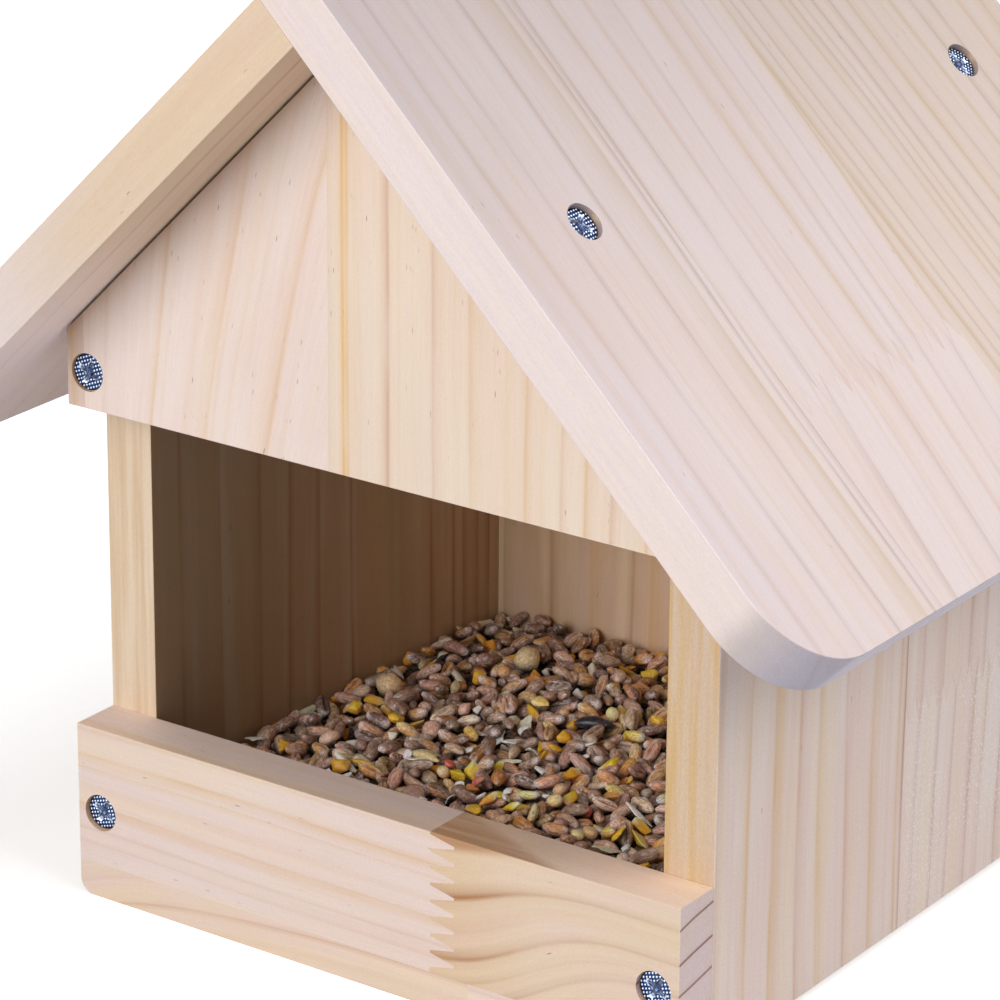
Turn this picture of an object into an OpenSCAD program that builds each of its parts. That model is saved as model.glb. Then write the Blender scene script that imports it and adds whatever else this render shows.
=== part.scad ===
// Gable-roofed bird feeder of screwed pine boards, filled with mixed seed.
// Millimetres. X runs across the open front, Y runs from the front to the back, Z is up.
// The origin is under the middle of the roof, on the surface the feeder stands on.

/* [Body] */
// Thickness of the pine boards
board_t = 12; // [10:0.5:16]
// Width over the two side walls
body_w = 153.5; // [130:0.5:200]
// Depth of the seed bay, from the lip to the back wall
bay_d = 126.5; // [100:0.5:180]
// Height of the front lip
lip_h = 39.5; // [36:0.5:60]
// Height of the feeding opening, from the lip up to the gable
opening_h = 72; // [50:0.5:110]
// Height of the gable's upright ends
gable_end_h = 17; // [15:0.5:40]
// How far the lip and the back wall reach below the side walls
foot_step = 1.5; // [0.5:0.5:4]
// Radius of the lower corners of the lip and the back wall
low_corner_r = 3.5; // [1:0.5:6]

/* [Roof] */
// Slope of the two roof panels
roof_pitch = 45; // [38:1:50]
// How far each eave's lower edge stands out past the side wall
eave_out = 32.5; // [25:0.5:50]
// How far the roof stands out in front of the gable
verge_front = 22; // [10:0.5:40]
// How far the roof stands out behind the back wall
verge_back = 22; // [10:0.5:40]
// Radius of the roof panels' corners at the eaves
eave_corner_r = 20; // [5:1:24]
// Gap between the roof and the slopes of the gable and the back wall
slope_gap = 0.5; // [0.2:0.1:1.5]

/* [Floor] */
// Thickness of the floor board
floor_t = 9; // [6:0.5:10]
// Height of the floor board's underside
floor_z = 7; // [5:0.5:9]
// Depth of the grooves in the side walls that hold the floor board
groove_d = 4; // [2:0.5:5]
// Play of the floor board in its grooves
floor_play = 0.3; // [0.1:0.1:0.6]

/* [Finger joint] */
// Distance from the lip's left end to the roots of the fingers
joint_x = 93; // [60:0.5:100]
// Length of the fingers
finger_l = 6; // [4:0.5:12]
// Distance from one finger to the next
finger_pitch = 3.8; // [3:0.1:6]
// Width of the flat at each finger's tip
finger_blunt = 0.6; // [0.3:0.1:1]
// Width of the flat land above the first finger
finger_land = 0.2; // [0.1:0.1:1]
// Height of the strip glued along the lip's lower edge
strip_h = 8; // [7:0.5:9]
// Distance from the lip's left end to the joint in its lower strip
strip_joint_x = 102.5; // [70:0.5:110]

/* [Screws] */
// Diameter of the screw heads
head_d = 7.6; // [6:0.2:8]
// Height of the straight rim under each head's face
head_rim = 0.5; // [0.3:0.1:0.8]
// Diameter of the screw shanks
shank_d = 4; // [3:0.1:4.5]
// Length of the screws through the lip, the gable and the back wall
wall_screw_l = 30; // [25:1:40]
// Length of the screws through the roof
roof_screw_l = 35; // [25:1:40]
// Diameter of the holes the heads sink into
sink_d = 8.3; // [8.1:0.1:9]
// Depth of the heads below the roof
roof_sink = 1; // [0.5:0.1:4]
// Depth of the heads below the lip
lip_sink = 0.8; // [0.5:0.1:3]
// Depth of the heads below the gable and the back wall
gable_sink = 0.2; // [0.1:0.1:2]
// Clearance round each screw in its hole
screw_clear = 0.1; // [0.05:0.05:0.3]
// Distance of the lower screws below the lip's top
lip_screw_drop = 19.5; // [14:0.5:20]
// Height of the upper screws above the gable's lower edge
gable_screw_up = 8; // [6:0.5:9]
// Distance of the gable's screws outward from the middle of the side walls
gable_screw_out = 0.6; // [0:0.1:1.5]
// Distance of the roof screws down the slope from the ridge corner
roof_screw_down = 69; // [40:1:80]
// Distance of the front roof screws in from the outer face of the gable
roof_screw_in = 4.5; // [4:0.5:6]
// Distance of the rear roof screws in from the outer face of the back wall
roof_screw_in_rear = 3.7; // [3.5:0.1:6]

/* [Seed] */
// Height of the seed at the side walls, above the floor board
seed_h = 9.5; // [5:0.5:14]
// Rise of the heap towards the middle
seed_crown = 4; // [0:0.5:6]
// Height of the bumps in the heap's surface
seed_bump = 1.2; // [0:0.1:2]
// Gap between the seed and the boards beside it
seed_gap = 0.3; // [0.2:0.1:1]

/* [Hidden] */
$fn = 48;

// Overcut that keeps a cutter's end clear of the face it breaks through
over = 1;

// Stations along the depth
roof_depth = verge_front + board_t + bay_d + board_t + verge_back;
y_roof = -roof_depth / 2;
y_front = y_roof + verge_front;
y_bay = y_front + board_t;
y_back = y_bay + bay_d;
y_rear = y_back + board_t;

// Levels
z_opening = lip_h + opening_h;
z_wall_top = z_opening + gable_end_h;
z_apex = z_wall_top + body_w / 2 * tan(roof_pitch);
z_floor_top = floor_z + floor_t;
z_low_screw = lip_h - lip_screw_drop;
z_high_screw = z_opening + gable_screw_up;

// Widths
half_w = body_w / 2;
half_bay = half_w - board_t;
slope_l = (half_w + eave_out) / cos(roof_pitch);

// Where the panels meet at the ridge: the right one laps over the end of the left one
ridge_lap = board_t / sin(2 * roof_pitch);
ridge_corner = board_t * tan(roof_pitch);

// Screw details
head_cone_h = (head_d - shank_d) / 2;
screw_point_h = shank_d;
recess_l = head_d * 0.58;
recess_w = 0.9;
recess_d = 1.6;
hole_spare = 1;

// Seed heap grid
seed_cell = 5;
seed_bump_pitch = 19;

pine = [0.90, 0.80, 0.72];
pine_pale = [0.93, 0.85, 0.80];
pine_tan = [0.88, 0.74, 0.60];
zinc = [0.55, 0.60, 0.72];
seed_mix = [0.55, 0.40, 0.28];

// Stands an XZ outline up as a board whose front face is at y.
module upright(y, t = board_t) {
  translate([0, y + t, 0]) rotate([90, 0, 0]) linear_extrude(t) children();
}

// Outline of a wall with sloping tops, from level z0 up to the underside of the roof.
module gable_outline(z0) {
  drop = slope_gap / cos(roof_pitch);
  polygon([
    [-half_w, z0], [half_w, z0], [half_w, z_wall_top - drop],
    [0, z_apex - drop], [-half_w, z_wall_top - drop]
  ]);
}

// What a rounded corner takes off a square one at the origin, towards +X and +Y.
module corner_waste(r) {
  difference() {
    translate([-over, -over]) square(r + over);
    translate([r, r]) circle(r);
  }
}

// Waste of the two rounded lower corners of a board as wide as the body.
module low_corner_waste() {
  for (side = [0, 1])
    mirror([side, 0]) translate([-half_w, 0]) corner_waste(low_corner_r);
}

// A countersunk wood screw of length l: its face is at the origin and it points down -Z.
module screw(l) {
  difference() {
    rotate_extrude() polygon([
      [0, 0], [head_d / 2, 0], [head_d / 2, -head_rim],
      [shank_d / 2, -head_rim - head_cone_h], [shank_d / 2, screw_point_h - l], [0, -l]
    ]);
    for (turn = [0, 90])
      rotate([0, 0, turn]) translate([-recess_l / 2, -recess_w / 2, -recess_d])
        cube([recess_l, recess_w, recess_d + over]);
  }
}

// The hole for such a screw, whose face lies a depth sink below the board's face at z = 0.
module screw_hole(l, sink) {
  seat = -sink - head_rim;
  bore_r = shank_d / 2 + screw_clear;
  rotate_extrude() polygon([
    [0, over], [sink_d / 2, over], [sink_d / 2, seat], [head_d / 2 + screw_clear, seat],
    [bore_r, seat - head_cone_h], [bore_r, -sink - l - hole_spare], [0, -sink - l - hole_spare]
  ]);
}

// Places children at the lip's two screws, with +Z out of the front face.
module at_lip_screws() {
  for (side = [-1, 1])
    translate([side * (half_w - board_t / 2), y_front, z_low_screw]) rotate([90, 0, 0]) children();
}

// Places children at the gable's two screws, with +Z out of the front face.
module at_gable_screws() {
  x = half_w - board_t / 2 + gable_screw_out;
  for (side = [-1, 1])
    translate([side * x, y_front, z_high_screw]) rotate([90, 0, 0]) children();
}

// Places children at the back wall's four screws, with +Z out of the rear face.
module at_back_screws() {
  for (side = [-1, 1], z = [z_low_screw, z_high_screw])
    translate([side * (half_w - board_t / 2), y_rear, z]) rotate([-90, 0, 0]) children();
}

// Frame of a roof slope: the origin is at the ridge, X runs down the slope and Z out of it.
module on_right_slope() {
  translate([0, 0, z_apex]) rotate([0, roof_pitch, 0]) children();
}
module on_left_slope() {
  mirror([1, 0, 0]) on_right_slope() children();
}

// Places children at a slope's two screws, in the slope's own frame.
module at_roof_screws() {
  for (y = [y_front + roof_screw_in, y_rear - roof_screw_in_rear])
    translate([roof_screw_down - ridge_corner, y, board_t]) children();
}

// A roof panel in its slope's frame: section is its outline along the slope and across it.
module roof_panel(section) {
  difference() {
    translate([0, -y_roof, 0]) rotate([90, 0, 0]) linear_extrude(roof_depth) polygon(section);
    for (side = [0, 1])
      mirror([0, side, 0]) translate([slope_l, -roof_depth / 2, -over]) mirror([1, 0, 0])
        linear_extrude(board_t + 2 * over) corner_waste(eave_corner_r);
    at_roof_screws() screw_hole(roof_screw_l, roof_sink);
  }
}

// Edge of a finger joint across a board of width span, as [along, across] points.
function finger_edge(span) =
  let (
    half = finger_pitch / 2,
    flat = finger_blunt / 2,
    first = finger_land + half,
    count = floor((span - first - half) / finger_pitch) + 1,
    tooth = [[0, flat - half], [finger_l, -flat], [finger_l, flat], [0, half - flat]]
  )
  concat(
    [[0, 0]],
    [for (k = [0:count - 1], p = tooth) [p[0], first + k * finger_pitch + p[1]]],
    [[0, span]]
  );

// An upper stave of the lip: x_end is its outer end, and the other end is fingered.
module lip_stave(x_end) {
  edge = [for (p = finger_edge(lip_h - strip_h)) [joint_x - half_w + p[0], lip_h - p[1]]];
  difference() {
    upright(y_front) polygon(concat([[x_end, lip_h]], edge, [[x_end, strip_h]]));
    at_lip_screws() screw_hole(wall_screw_l, lip_sink);
  }
}

// A lower strip of the lip: its fingers run through the thickness of the board.
module lip_strip(x_end) {
  edge = [for (p = finger_edge(board_t)) [strip_joint_x - half_w + p[0], y_front + p[1]]];
  difference() {
    linear_extrude(strip_h) polygon(concat([[x_end, y_front]], edge, [[x_end, y_bay]]));
    upright(y_front - over, board_t + 2 * over) low_corner_waste();
  }
}

// A side wall on the right: its top is bevelled to the roof, and a groove takes the floor.
module side_wall() {
  difference() {
    upright(y_bay, bay_d) polygon([
      [half_bay, foot_step], [half_w, foot_step], [half_w, z_wall_top],
      [half_bay, z_wall_top + board_t * tan(roof_pitch)]
    ]);
    translate([half_bay - over, y_bay - over, floor_z])
      cube([groove_d + over, bay_d + 2 * over, floor_t + floor_play]);
    at_lip_screws() screw_hole(wall_screw_l, lip_sink);
    at_gable_screws() screw_hole(wall_screw_l, gable_sink);
    at_back_screws() screw_hole(wall_screw_l, gable_sink);
  }
}

module left_side_wall() {
  color(pine) mirror([1, 0, 0]) side_wall();
}

module right_side_wall() {
  color(pine) side_wall();
}

module back_wall() {
  color(pine) difference() {
    upright(y_back) difference() {
      gable_outline(0);
      low_corner_waste();
    }
    at_back_screws() screw_hole(wall_screw_l, gable_sink);
    on_right_slope() at_roof_screws() screw_hole(roof_screw_l, roof_sink);
    on_left_slope() at_roof_screws() screw_hole(roof_screw_l, roof_sink);
  }
}

module floor_board() {
  reach = half_bay + groove_d - floor_play;
  color(pine) translate([-reach, y_bay + floor_play, floor_z])
    cube([2 * reach, bay_d - 2 * floor_play, floor_t]);
}

module front_gable() {
  color(pine_pale) difference() {
    upright(y_front) gable_outline(z_opening);
    at_gable_screws() screw_hole(wall_screw_l, gable_sink);
    on_right_slope() at_roof_screws() screw_hole(roof_screw_l, roof_sink);
    on_left_slope() at_roof_screws() screw_hole(roof_screw_l, roof_sink);
  }
}

module lip_left_stave() {
  color(pine_pale) lip_stave(-half_w);
}

module lip_right_stave() {
  color(pine_tan) lip_stave(half_w);
}

module lip_lower_left_strip() {
  color(pine_tan) lip_strip(-half_w);
}

module lip_lower_right_strip() {
  color(pine_pale) lip_strip(half_w);
}

// The left panel ends square against the underside of the right one.
module roof_left_panel() {
  color(pine_pale) on_left_slope() roof_panel([
    [0, 0], [slope_l, 0], [slope_l, board_t], [ridge_lap * cos(2 * roof_pitch), board_t]
  ]);
}

// The right panel laps over the left one's end, up to the left slope's outer face.
module roof_right_panel() {
  color(pine_pale) on_right_slope() roof_panel([
    [-ridge_lap, 0], [slope_l, 0], [slope_l, board_t], [-ridge_corner, board_t]
  ]);
}

module gable_screws() {
  color(zinc) at_gable_screws() translate([0, 0, -gable_sink]) screw(wall_screw_l);
}

module lip_screws() {
  color(zinc) at_lip_screws() translate([0, 0, -lip_sink]) screw(wall_screw_l);
}

module back_wall_screws() {
  color(zinc) at_back_screws() translate([0, 0, -gable_sink]) screw(wall_screw_l);
}

module roof_left_screws() {
  color(zinc) on_left_slope() at_roof_screws() translate([0, 0, -roof_sink]) screw(roof_screw_l);
}

module roof_right_screws() {
  color(zinc) on_right_slope() at_roof_screws() translate([0, 0, -roof_sink]) screw(roof_screw_l);
}

// Height of the heap at a share s across the bay (-1 to 1) and a share t along it (0 to 1).
function heap_height(s, t, x, y) =
  seed_h + seed_crown * (1 - s * s) * sin(180 * t)
  + seed_bump * sin(360 * x / seed_bump_pitch) * cos(360 * y / seed_bump_pitch);

// The seed is one settled heap, from the floor board up to a bumpy crowned surface.
module seed_fill() {
  half_x = half_bay - seed_gap;
  half_y = bay_d / 2 - seed_gap;
  y_mid = (y_bay + y_back) / 2;
  nx = ceil(2 * half_x / seed_cell);
  ny = ceil(2 * half_y / seed_cell);
  top = [for (j = [0:ny], i = [0:nx])
    let (s = 2 * i / nx - 1, t = j / ny, x = s * half_x, y = (2 * t - 1) * half_y)
    [x, y_mid + y, z_floor_top + heap_height(s, t, x, y)]];
  // Indexes of the top's border, anticlockwise from the near left corner
  rim = concat(
    [for (i = [0:nx - 1]) i],
    [for (j = [0:ny - 1]) j * (nx + 1) + nx],
    [for (i = [nx:-1:1]) ny * (nx + 1) + i],
    [for (j = [ny:-1:1]) j * (nx + 1)]
  );
  low = len(top);
  base = [for (k = rim) [top[k][0], top[k][1], z_floor_top]];
  middle = low + len(rim);
  tris = [for (j = [0:ny - 1], i = [0:nx - 1])
    let (a = j * (nx + 1) + i, b = a + 1, c = a + nx + 1, d = c + 1)
    each [[a, c, b], [b, c, d]]];
  // Two faces down each side at a step k round the rim, and one in the base
  skirt = [for (k = [0:len(rim) - 1])
    let (n = (k + 1) % len(rim))
    each [[rim[k], rim[n], low + n, low + k], [low + k, low + n, middle]]];
  color(seed_mix) polyhedron(concat(top, base, [[0, y_mid, z_floor_top]]), concat(tris, skirt));
}

left_side_wall();
right_side_wall();
back_wall();
floor_board();
front_gable();
lip_left_stave();
lip_right_stave();
lip_lower_left_strip();
lip_lower_right_strip();
roof_left_panel();
roof_right_panel();
gable_screws();
lip_screws();
back_wall_screws();
roof_left_screws();
roof_right_screws();
seed_fill();
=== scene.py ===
"""Pine bird feeder with a gabled roof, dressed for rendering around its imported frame.

Boards, screws and seed are built in the frame's own place. Lengths are in millimetres, and
MM turns them into metres where a mesh or a setting is made.
"""

import math
from collections import namedtuple
from dataclasses import dataclass

import bmesh
import bpy
import numpy as np
from mathutils import Matrix, Vector
from mathutils.bvhtree import BVHTree


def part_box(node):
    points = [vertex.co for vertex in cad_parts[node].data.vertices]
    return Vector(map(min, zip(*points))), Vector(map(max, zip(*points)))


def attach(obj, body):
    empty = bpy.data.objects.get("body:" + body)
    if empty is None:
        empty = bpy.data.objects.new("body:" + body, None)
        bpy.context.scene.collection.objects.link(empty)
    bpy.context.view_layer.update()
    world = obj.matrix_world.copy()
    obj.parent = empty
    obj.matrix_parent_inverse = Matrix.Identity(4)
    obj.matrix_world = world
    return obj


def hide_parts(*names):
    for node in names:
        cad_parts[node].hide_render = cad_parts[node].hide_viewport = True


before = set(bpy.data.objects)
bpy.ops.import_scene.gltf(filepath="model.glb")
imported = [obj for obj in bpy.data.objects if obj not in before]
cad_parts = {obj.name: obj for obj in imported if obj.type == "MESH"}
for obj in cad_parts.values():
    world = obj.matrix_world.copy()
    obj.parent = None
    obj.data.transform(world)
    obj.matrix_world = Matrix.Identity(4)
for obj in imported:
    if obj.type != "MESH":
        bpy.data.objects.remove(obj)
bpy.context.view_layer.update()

bl_info = {
    "name": "Pine bird feeder",
    "version": (1, 0, 0),
    "blender": (4, 5, 0),
    "location": "3D View > Sidebar > Feeder",
    "description": "Builds a gabled pine bird feeder filled with mixed seed",
    "category": "Object",
}

MM = 0.001
WELD = 0.01 * MM
WHOLE = "root"

# Places taken from the frame, in millimetres

WALL_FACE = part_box("right_side_wall")[1].x / MM
BAY_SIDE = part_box("floor_board")[1].x / MM
GABLE_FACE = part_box("front_gable")[0].y / MM
BAY_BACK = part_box("back_wall")[0].y / MM
BAY_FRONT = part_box("lip_left_stave")[1].y / MM
OPENING_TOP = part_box("front_gable")[0].z / MM
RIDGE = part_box("roof_right_panel")[1].z / MM
SEED_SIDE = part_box("seed_fill")[1].x / MM
SEED_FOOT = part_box("seed_fill")[0].z / MM
SLOPE = math.radians(45)
COS, SIN = math.cos(SLOPE), math.sin(SLOPE)
BOARD = (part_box("back_wall")[1].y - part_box("back_wall")[0].y) / MM
UNDERSIDE = RIDGE - BOARD / COS

# Shader writing


def linear(colour):
    """A colour as a screen shows it, turned into the values that light adds up in."""
    return tuple(c / 12.92 if c <= 0.04045 else ((c + 0.055) / 1.055) ** 2.4 for c in colour)


class Level:
    """A number or a colour that a finish works out; plain arithmetic adds the Math nodes."""

    def __init__(self, finish, socket):
        self.finish = finish
        self.socket = socket

    def __add__(self, other):
        return self.finish.maths("ADD", self, other)

    def __radd__(self, other):
        return self.finish.maths("ADD", other, self)

    def __sub__(self, other):
        return self.finish.maths("SUBTRACT", self, other)

    def __rsub__(self, other):
        return self.finish.maths("SUBTRACT", other, self)

    def __mul__(self, other):
        return self.finish.maths("MULTIPLY", self, other)

    def __rmul__(self, other):
        return self.finish.maths("MULTIPLY", other, self)

    def __truediv__(self, other):
        return self.finish.maths("DIVIDE", self, other)

    def __gt__(self, other):
        return self.finish.maths("GREATER_THAN", self, other)

    def __abs__(self):
        return self.finish.maths("ABSOLUTE", self)


class Nodes:
    """The nodes of a material or of the room, and the one way in which they are added."""

    def __init__(self, tree):
        self.tree = tree

    def node(self, kind, settings=None, inputs=None, out=0):
        """Adds one node: its settings first, then the values or links of its sockets."""
        made = self.tree.nodes.new(kind)
        for name, value in (settings or {}).items():
            if name == "stops":
                lay_stops(made.color_ramp, value)
            else:
                setattr(made, name, value)
        for key, value in (inputs or {}).items():
            self.feed(made.inputs[key], value)
        return Level(self, made.outputs[out])

    def feed(self, socket, value):
        """Links a level to a socket, or sets the socket's own value."""
        if isinstance(value, Level):
            self.tree.links.new(value.socket, socket)
        elif isinstance(value, tuple) and socket.type == "RGBA":
            socket.default_value = (*value[:3], 1)
        else:
            socket.default_value = value

    def maths(self, operation, first, second=0.0):
        """Adds a Math node, which the operators of Level do by themselves."""
        return self.node("ShaderNodeMath", {"operation": operation}, {0: first, 1: second})

    def highest(self, first, second):
        """The larger of two levels."""
        return self.maths("MAXIMUM", first, second)

    def seen_directly(self):
        """1 for rays that show the background: camera, glossy and transmission rays."""
        value = self.node("ShaderNodeLightPath", out="Is Camera Ray")
        path = value.socket.node
        for name in ("Is Glossy Ray", "Is Transmission Ray"):
            value = self.highest(value, Level(self, path.outputs[name]))
        return value

    def mix_surface(self, output, factor, first, second):
        """Ends the nodes in a mix of two shaders."""
        both = self.node("ShaderNodeMixShader", inputs={0: factor, 1: first, 2: second})
        self.feed(self.tree.nodes[output].inputs["Surface"], both)


class Finish(Nodes):
    """A material of the feeder, its nodes worked out from places on the piece."""

    def __init__(self, name, **constants):
        self.material = bpy.data.materials.new(name)
        self.material.use_nodes = True
        super().__init__(self.material.node_tree)
        self.shader = self.tree.nodes["Principled BSDF"]
        for socket, value in constants.items():
            self.shader.inputs[socket.replace("_", " ")].default_value = value

    def swing(self, value, reach):
        """Runs up and down between 0 and reach as the value grows."""
        return self.maths("PINGPONG", value, reach)

    def rise(self, value, low, high, to_low=0.0, to_high=1.0):
        """Eases from to_low to to_high while the value goes from low to high."""
        settings = {"interpolation_type": "SMOOTHSTEP"}
        return self.node("ShaderNodeMapRange", settings,
                         {0: value, 1: low, 2: high, 3: to_low, 4: to_high})

    def mix(self, factor, first, second, blend="MIX"):
        """Goes from the first colour to the second as the factor goes from 0 to 1."""
        settings = {"data_type": "RGBA", "blend_type": blend}
        return self.node("ShaderNodeMix", settings, {0: factor, 6: first, 7: second}, 2)

    def shade(self, colour, level):
        """The colour made lighter or darker by a level around 1."""
        grey = self.vector(level, level, level)
        return self.node("ShaderNodeVectorMath", {"operation": "MULTIPLY"}, {0: colour, 1: grey})

    def vector(self, x, y, z):
        """Three levels as one vector."""
        return self.node("ShaderNodeCombineXYZ", inputs={0: x, 1: y, 2: z})

    def along(self, vector, axis):
        """How far a vector reaches along an axis."""
        settings = {"operation": "DOT_PRODUCT"}
        return self.node("ShaderNodeVectorMath", settings, {0: vector, 1: axis}, "Value")

    def noise(self, vector, scale=1.0, detail=2.0, roughness=0.5):
        """Cloudy noise between 0 and 1."""
        inputs = {"Vector": vector, "Scale": scale, "Detail": detail, "Roughness": roughness}
        return self.node("ShaderNodeTexNoise", inputs=inputs)

    def object_place(self):
        """The place on the piece, in metres."""
        return self.node("ShaderNodeTexCoord", out="Object")

    def object_normal(self):
        """The way in which the surface faces."""
        return self.node("ShaderNodeTexCoord", out="Normal")

    def attribute(self, name, out="Color"):
        """What the mesh says about itself under a name."""
        return self.node("ShaderNodeAttribute", {"attribute_name": name}, out=out)

    def bump(self, height, depth, strength=1.0):
        """A normal that makes the height show as relief of a depth."""
        inputs = {"Strength": strength, "Distance": depth * MM, "Height": height}
        return self.node("ShaderNodeBump", inputs=inputs)

    def set(self, **levels):
        """Feeds the surface's own sockets."""
        for socket, value in levels.items():
            self.feed(self.shader.inputs[socket.replace("_", " ")], value)
        return self.material


def lay_stops(ramp, stops):
    """Fills a colour ramp with (position, colour, opacity) stops."""
    while len(ramp.elements) > 1:
        ramp.elements.remove(ramp.elements[-1])
    for number, (position, colour, opacity) in enumerate(stops):
        stop = ramp.elements[0] if number == 0 else ramp.elements.new(position)
        stop.position = position
        stop.color = (*colour, opacity)


# Settings


def colour_of(name, words, red, green, blue):
    """A colour setting, its default given from 0 to 255 as a screen shows it."""
    return bpy.props.FloatVectorProperty(
        name=name, description=words, subtype="COLOR_GAMMA", size=3, min=0.0, max=1.0,
        default=(red / 255, green / 255, blue / 255))


def size_of(name, words, millimetres, low, high):
    """A length setting, its default given in millimetres."""
    return bpy.props.FloatProperty(
        name=name, description=words, subtype="DISTANCE", unit="LENGTH", precision=5,
        default=millimetres * MM, min=low * MM, max=high * MM)


def share_of(name, words, share, high=1.0):
    """A plain share or strength setting."""
    return bpy.props.FloatProperty(name=name, description=words, default=share, min=0.0,
                                   max=high, subtype="FACTOR")


def count_of(name, words, count, high):
    """A number of like pieces."""
    return bpy.props.IntProperty(name=name, description=words, default=count, min=0, max=high)


class FEEDER_PG_pine(bpy.types.PropertyGroup):
    """Colours of the wood and how far its edges are sanded."""

    board: colour_of("Board", "Early wood of the walls and the gable", 236, 220, 210)
    pink: colour_of("Pink", "The pinker wood that drifts through the boards", 232, 207, 196)
    pale: colour_of("Pale stave", "Early wood of the lip's pale staves", 231, 212, 203)
    cream: colour_of("Cream", "The yellower wood that drifts along the grain lines", 236, 214, 182)
    # The inner board is darker, warmer wood and partly painted shade inside the bay
    inner: colour_of("Inner board", "Early wood of the left wall and the back wall", 214, 180, 142)
    tan: colour_of("Tan stave", "Early wood of the lip's tan staves", 230, 208, 180)
    roof: colour_of("Roof", "Early wood of the roof panels", 234, 219, 217)
    orange: colour_of("Orange", "The warmest early wood, near the ridge", 238, 204, 170)
    line: colour_of("Grain line", "Late wood of a common grain line", 219, 180, 130)
    honey: colour_of("Honey line", "Late wood of a strong yellow grain line", 228, 182, 104)
    rust: colour_of("Rust line", "Late wood of a dark grain line", 172, 116, 70)
    rose: colour_of("Rose line", "Late wood of a pinkish grain line", 210, 168, 142)
    olive: colour_of("Olive line", "Late wood of a tan band", 206, 178, 138)
    dun: colour_of("Dun line", "Late wood of a thin greyish line", 190, 162, 148)
    lilac: colour_of("Lilac", "End grain of the lip", 216, 200, 214)
    # End grain of the roof's eaves, in a cool blue-grey that is partly painted shade
    end_grain_and_shade: colour_of("Slate", "End grain of the roof's eaves", 172, 176, 200)
    hollow: colour_of("Hollow", "Cut wood in the screws' holes", 214, 166, 104)
    resin: colour_of("Resin", "Short dark dashes of resin", 140, 100, 88)
    arris: size_of("Arris", "Radius to which the sharp edges are sanded", 0.2, 0.1, 1.5)
    fibre: share_of("Fibre", "Strength of the fine fibres", 0.7)


class FEEDER_PG_screws(bpy.types.PropertyGroup):
    """Colours and pattern of the screws."""

    # The plate is the zinc's colour; the shadow blue is painted shade in the head's hollows
    plate: colour_of("Plate", "Zinc plate on the raised parts", 206, 216, 230)
    shadow: colour_of("Shadow", "Blue of the plate in its hollows", 30, 52, 96)
    waffle: size_of("Waffle", "Distance between the dots of the head's pattern", 0.82, 0.3, 1.5)
    relief: size_of("Relief", "Height of the dots of the head's pattern", 0.22, 0.02, 0.4)
    recess: size_of("Recess", "Reach of the cross recess from the middle", 2.8, 1.0, 3.2)


class FEEDER_PG_seed(bpy.types.PropertyGroup):
    """Sizes, counts and colours of the seed."""

    wheat_length: size_of("Wheat", "Length of a wheat grain", 6.1, 4.0, 9.0)
    pea: size_of("Pea", "Diameter of a pea", 7.0, 4.0, 9.0)
    depth: size_of("Depth", "Depth of the loose seed over its bed", 5.0, 2.0, 9.0)
    grains: count_of("Grains", "Most grains laid in the bay", 2600, 6000)
    mauve: colour_of("Mauve", "Darker wheat", 166, 130, 112)
    grey: colour_of("Grey", "Dull wheat", 194, 164, 144)
    tan: colour_of("Tan", "Lighter wheat", 216, 174, 126)
    orange: colour_of("Orange", "Ripest wheat", 226, 160, 92)
    corn: colour_of("Corn", "Cracked corn", 255, 170, 42)
    cream: colour_of("Cream", "Meal of the corn and pale flakes", 255, 240, 212)
    straw: colour_of("Straw", "Husks and oats", 224, 200, 158)
    black: colour_of("Black", "Sunflower seed", 44, 42, 50)
    red: colour_of("Red", "Grain dyed red", 196, 92, 74)
    # Bloom is pale dust on the skins, and its share on a skin also stands in for a painted sheen
    bloom: colour_of("Bloom", "Pale dust on the skins", 232, 220, 222)


class FEEDER_PG_stage(bpy.types.PropertyGroup):
    """Strengths of the lamps."""

    key: share_of("Key", "Light that the front lamp gives a white card", 0.64, 3.0)
    high: share_of("High", "Light that the high front lamp gives a white card", 0.20, 3.0)
    side: share_of("Side", "Light that the right-hand lamp gives a white card", 0.43, 3.0)
    top: share_of("Top", "Light that the overhead lamp gives a white card", 0.24, 3.0)
    room: share_of("Room", "Light from all around", 0.08, 3.0)


# Mesh writing


def as_piece(name, mesh, finish, nodes):
    """Puts a mesh into the scene as a piece that stands for some of the frame's nodes."""
    piece = bpy.data.objects.new(name, mesh)
    bpy.context.scene.collection.objects.link(piece)
    mesh.materials.append(finish)
    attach(piece, WHOLE)
    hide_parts(*nodes)
    return piece


def mesh_of(name, build):
    """A finished mesh from a bmesh, which is then freed."""
    mesh = bpy.data.meshes.new(name)
    build.to_mesh(mesh)
    build.free()
    return mesh


def smooth_but(build, angle):
    """Shades a mesh smooth and keeps the edges that are sharper than the angle."""
    for face in build.faces:
        face.smooth = True
    for edge in build.edges:
        edge.smooth = len(edge.link_faces) == 2 and edge.calc_face_angle(0.0) < angle


def solids(node):
    """The separate solids of a node, each as an array of its corners in millimetres."""
    build = bmesh.new()
    build.from_mesh(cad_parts[node].data)
    bmesh.ops.remove_doubles(build, verts=build.verts, dist=WELD)
    left = set(build.verts)
    found = []
    while left:
        stack = [left.pop()]
        corners = []
        while stack:
            corner = stack.pop()
            corners.append(corner.co / MM)
            for edge in corner.link_edges:
                other = edge.other_vert(corner)
                if other in left:
                    left.remove(other)
                    stack.append(other)
        found.append(np.array(corners))
    build.free()
    return sorted(found, key=lambda c: tuple(c.mean(0).round(1)))


# Screw places

SCREW_NODES = ("gable_screws", "lip_screws", "back_wall_screws", "roof_left_screws",
               "roof_right_screws")
Place = namedtuple("Place", "head out length")


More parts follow.
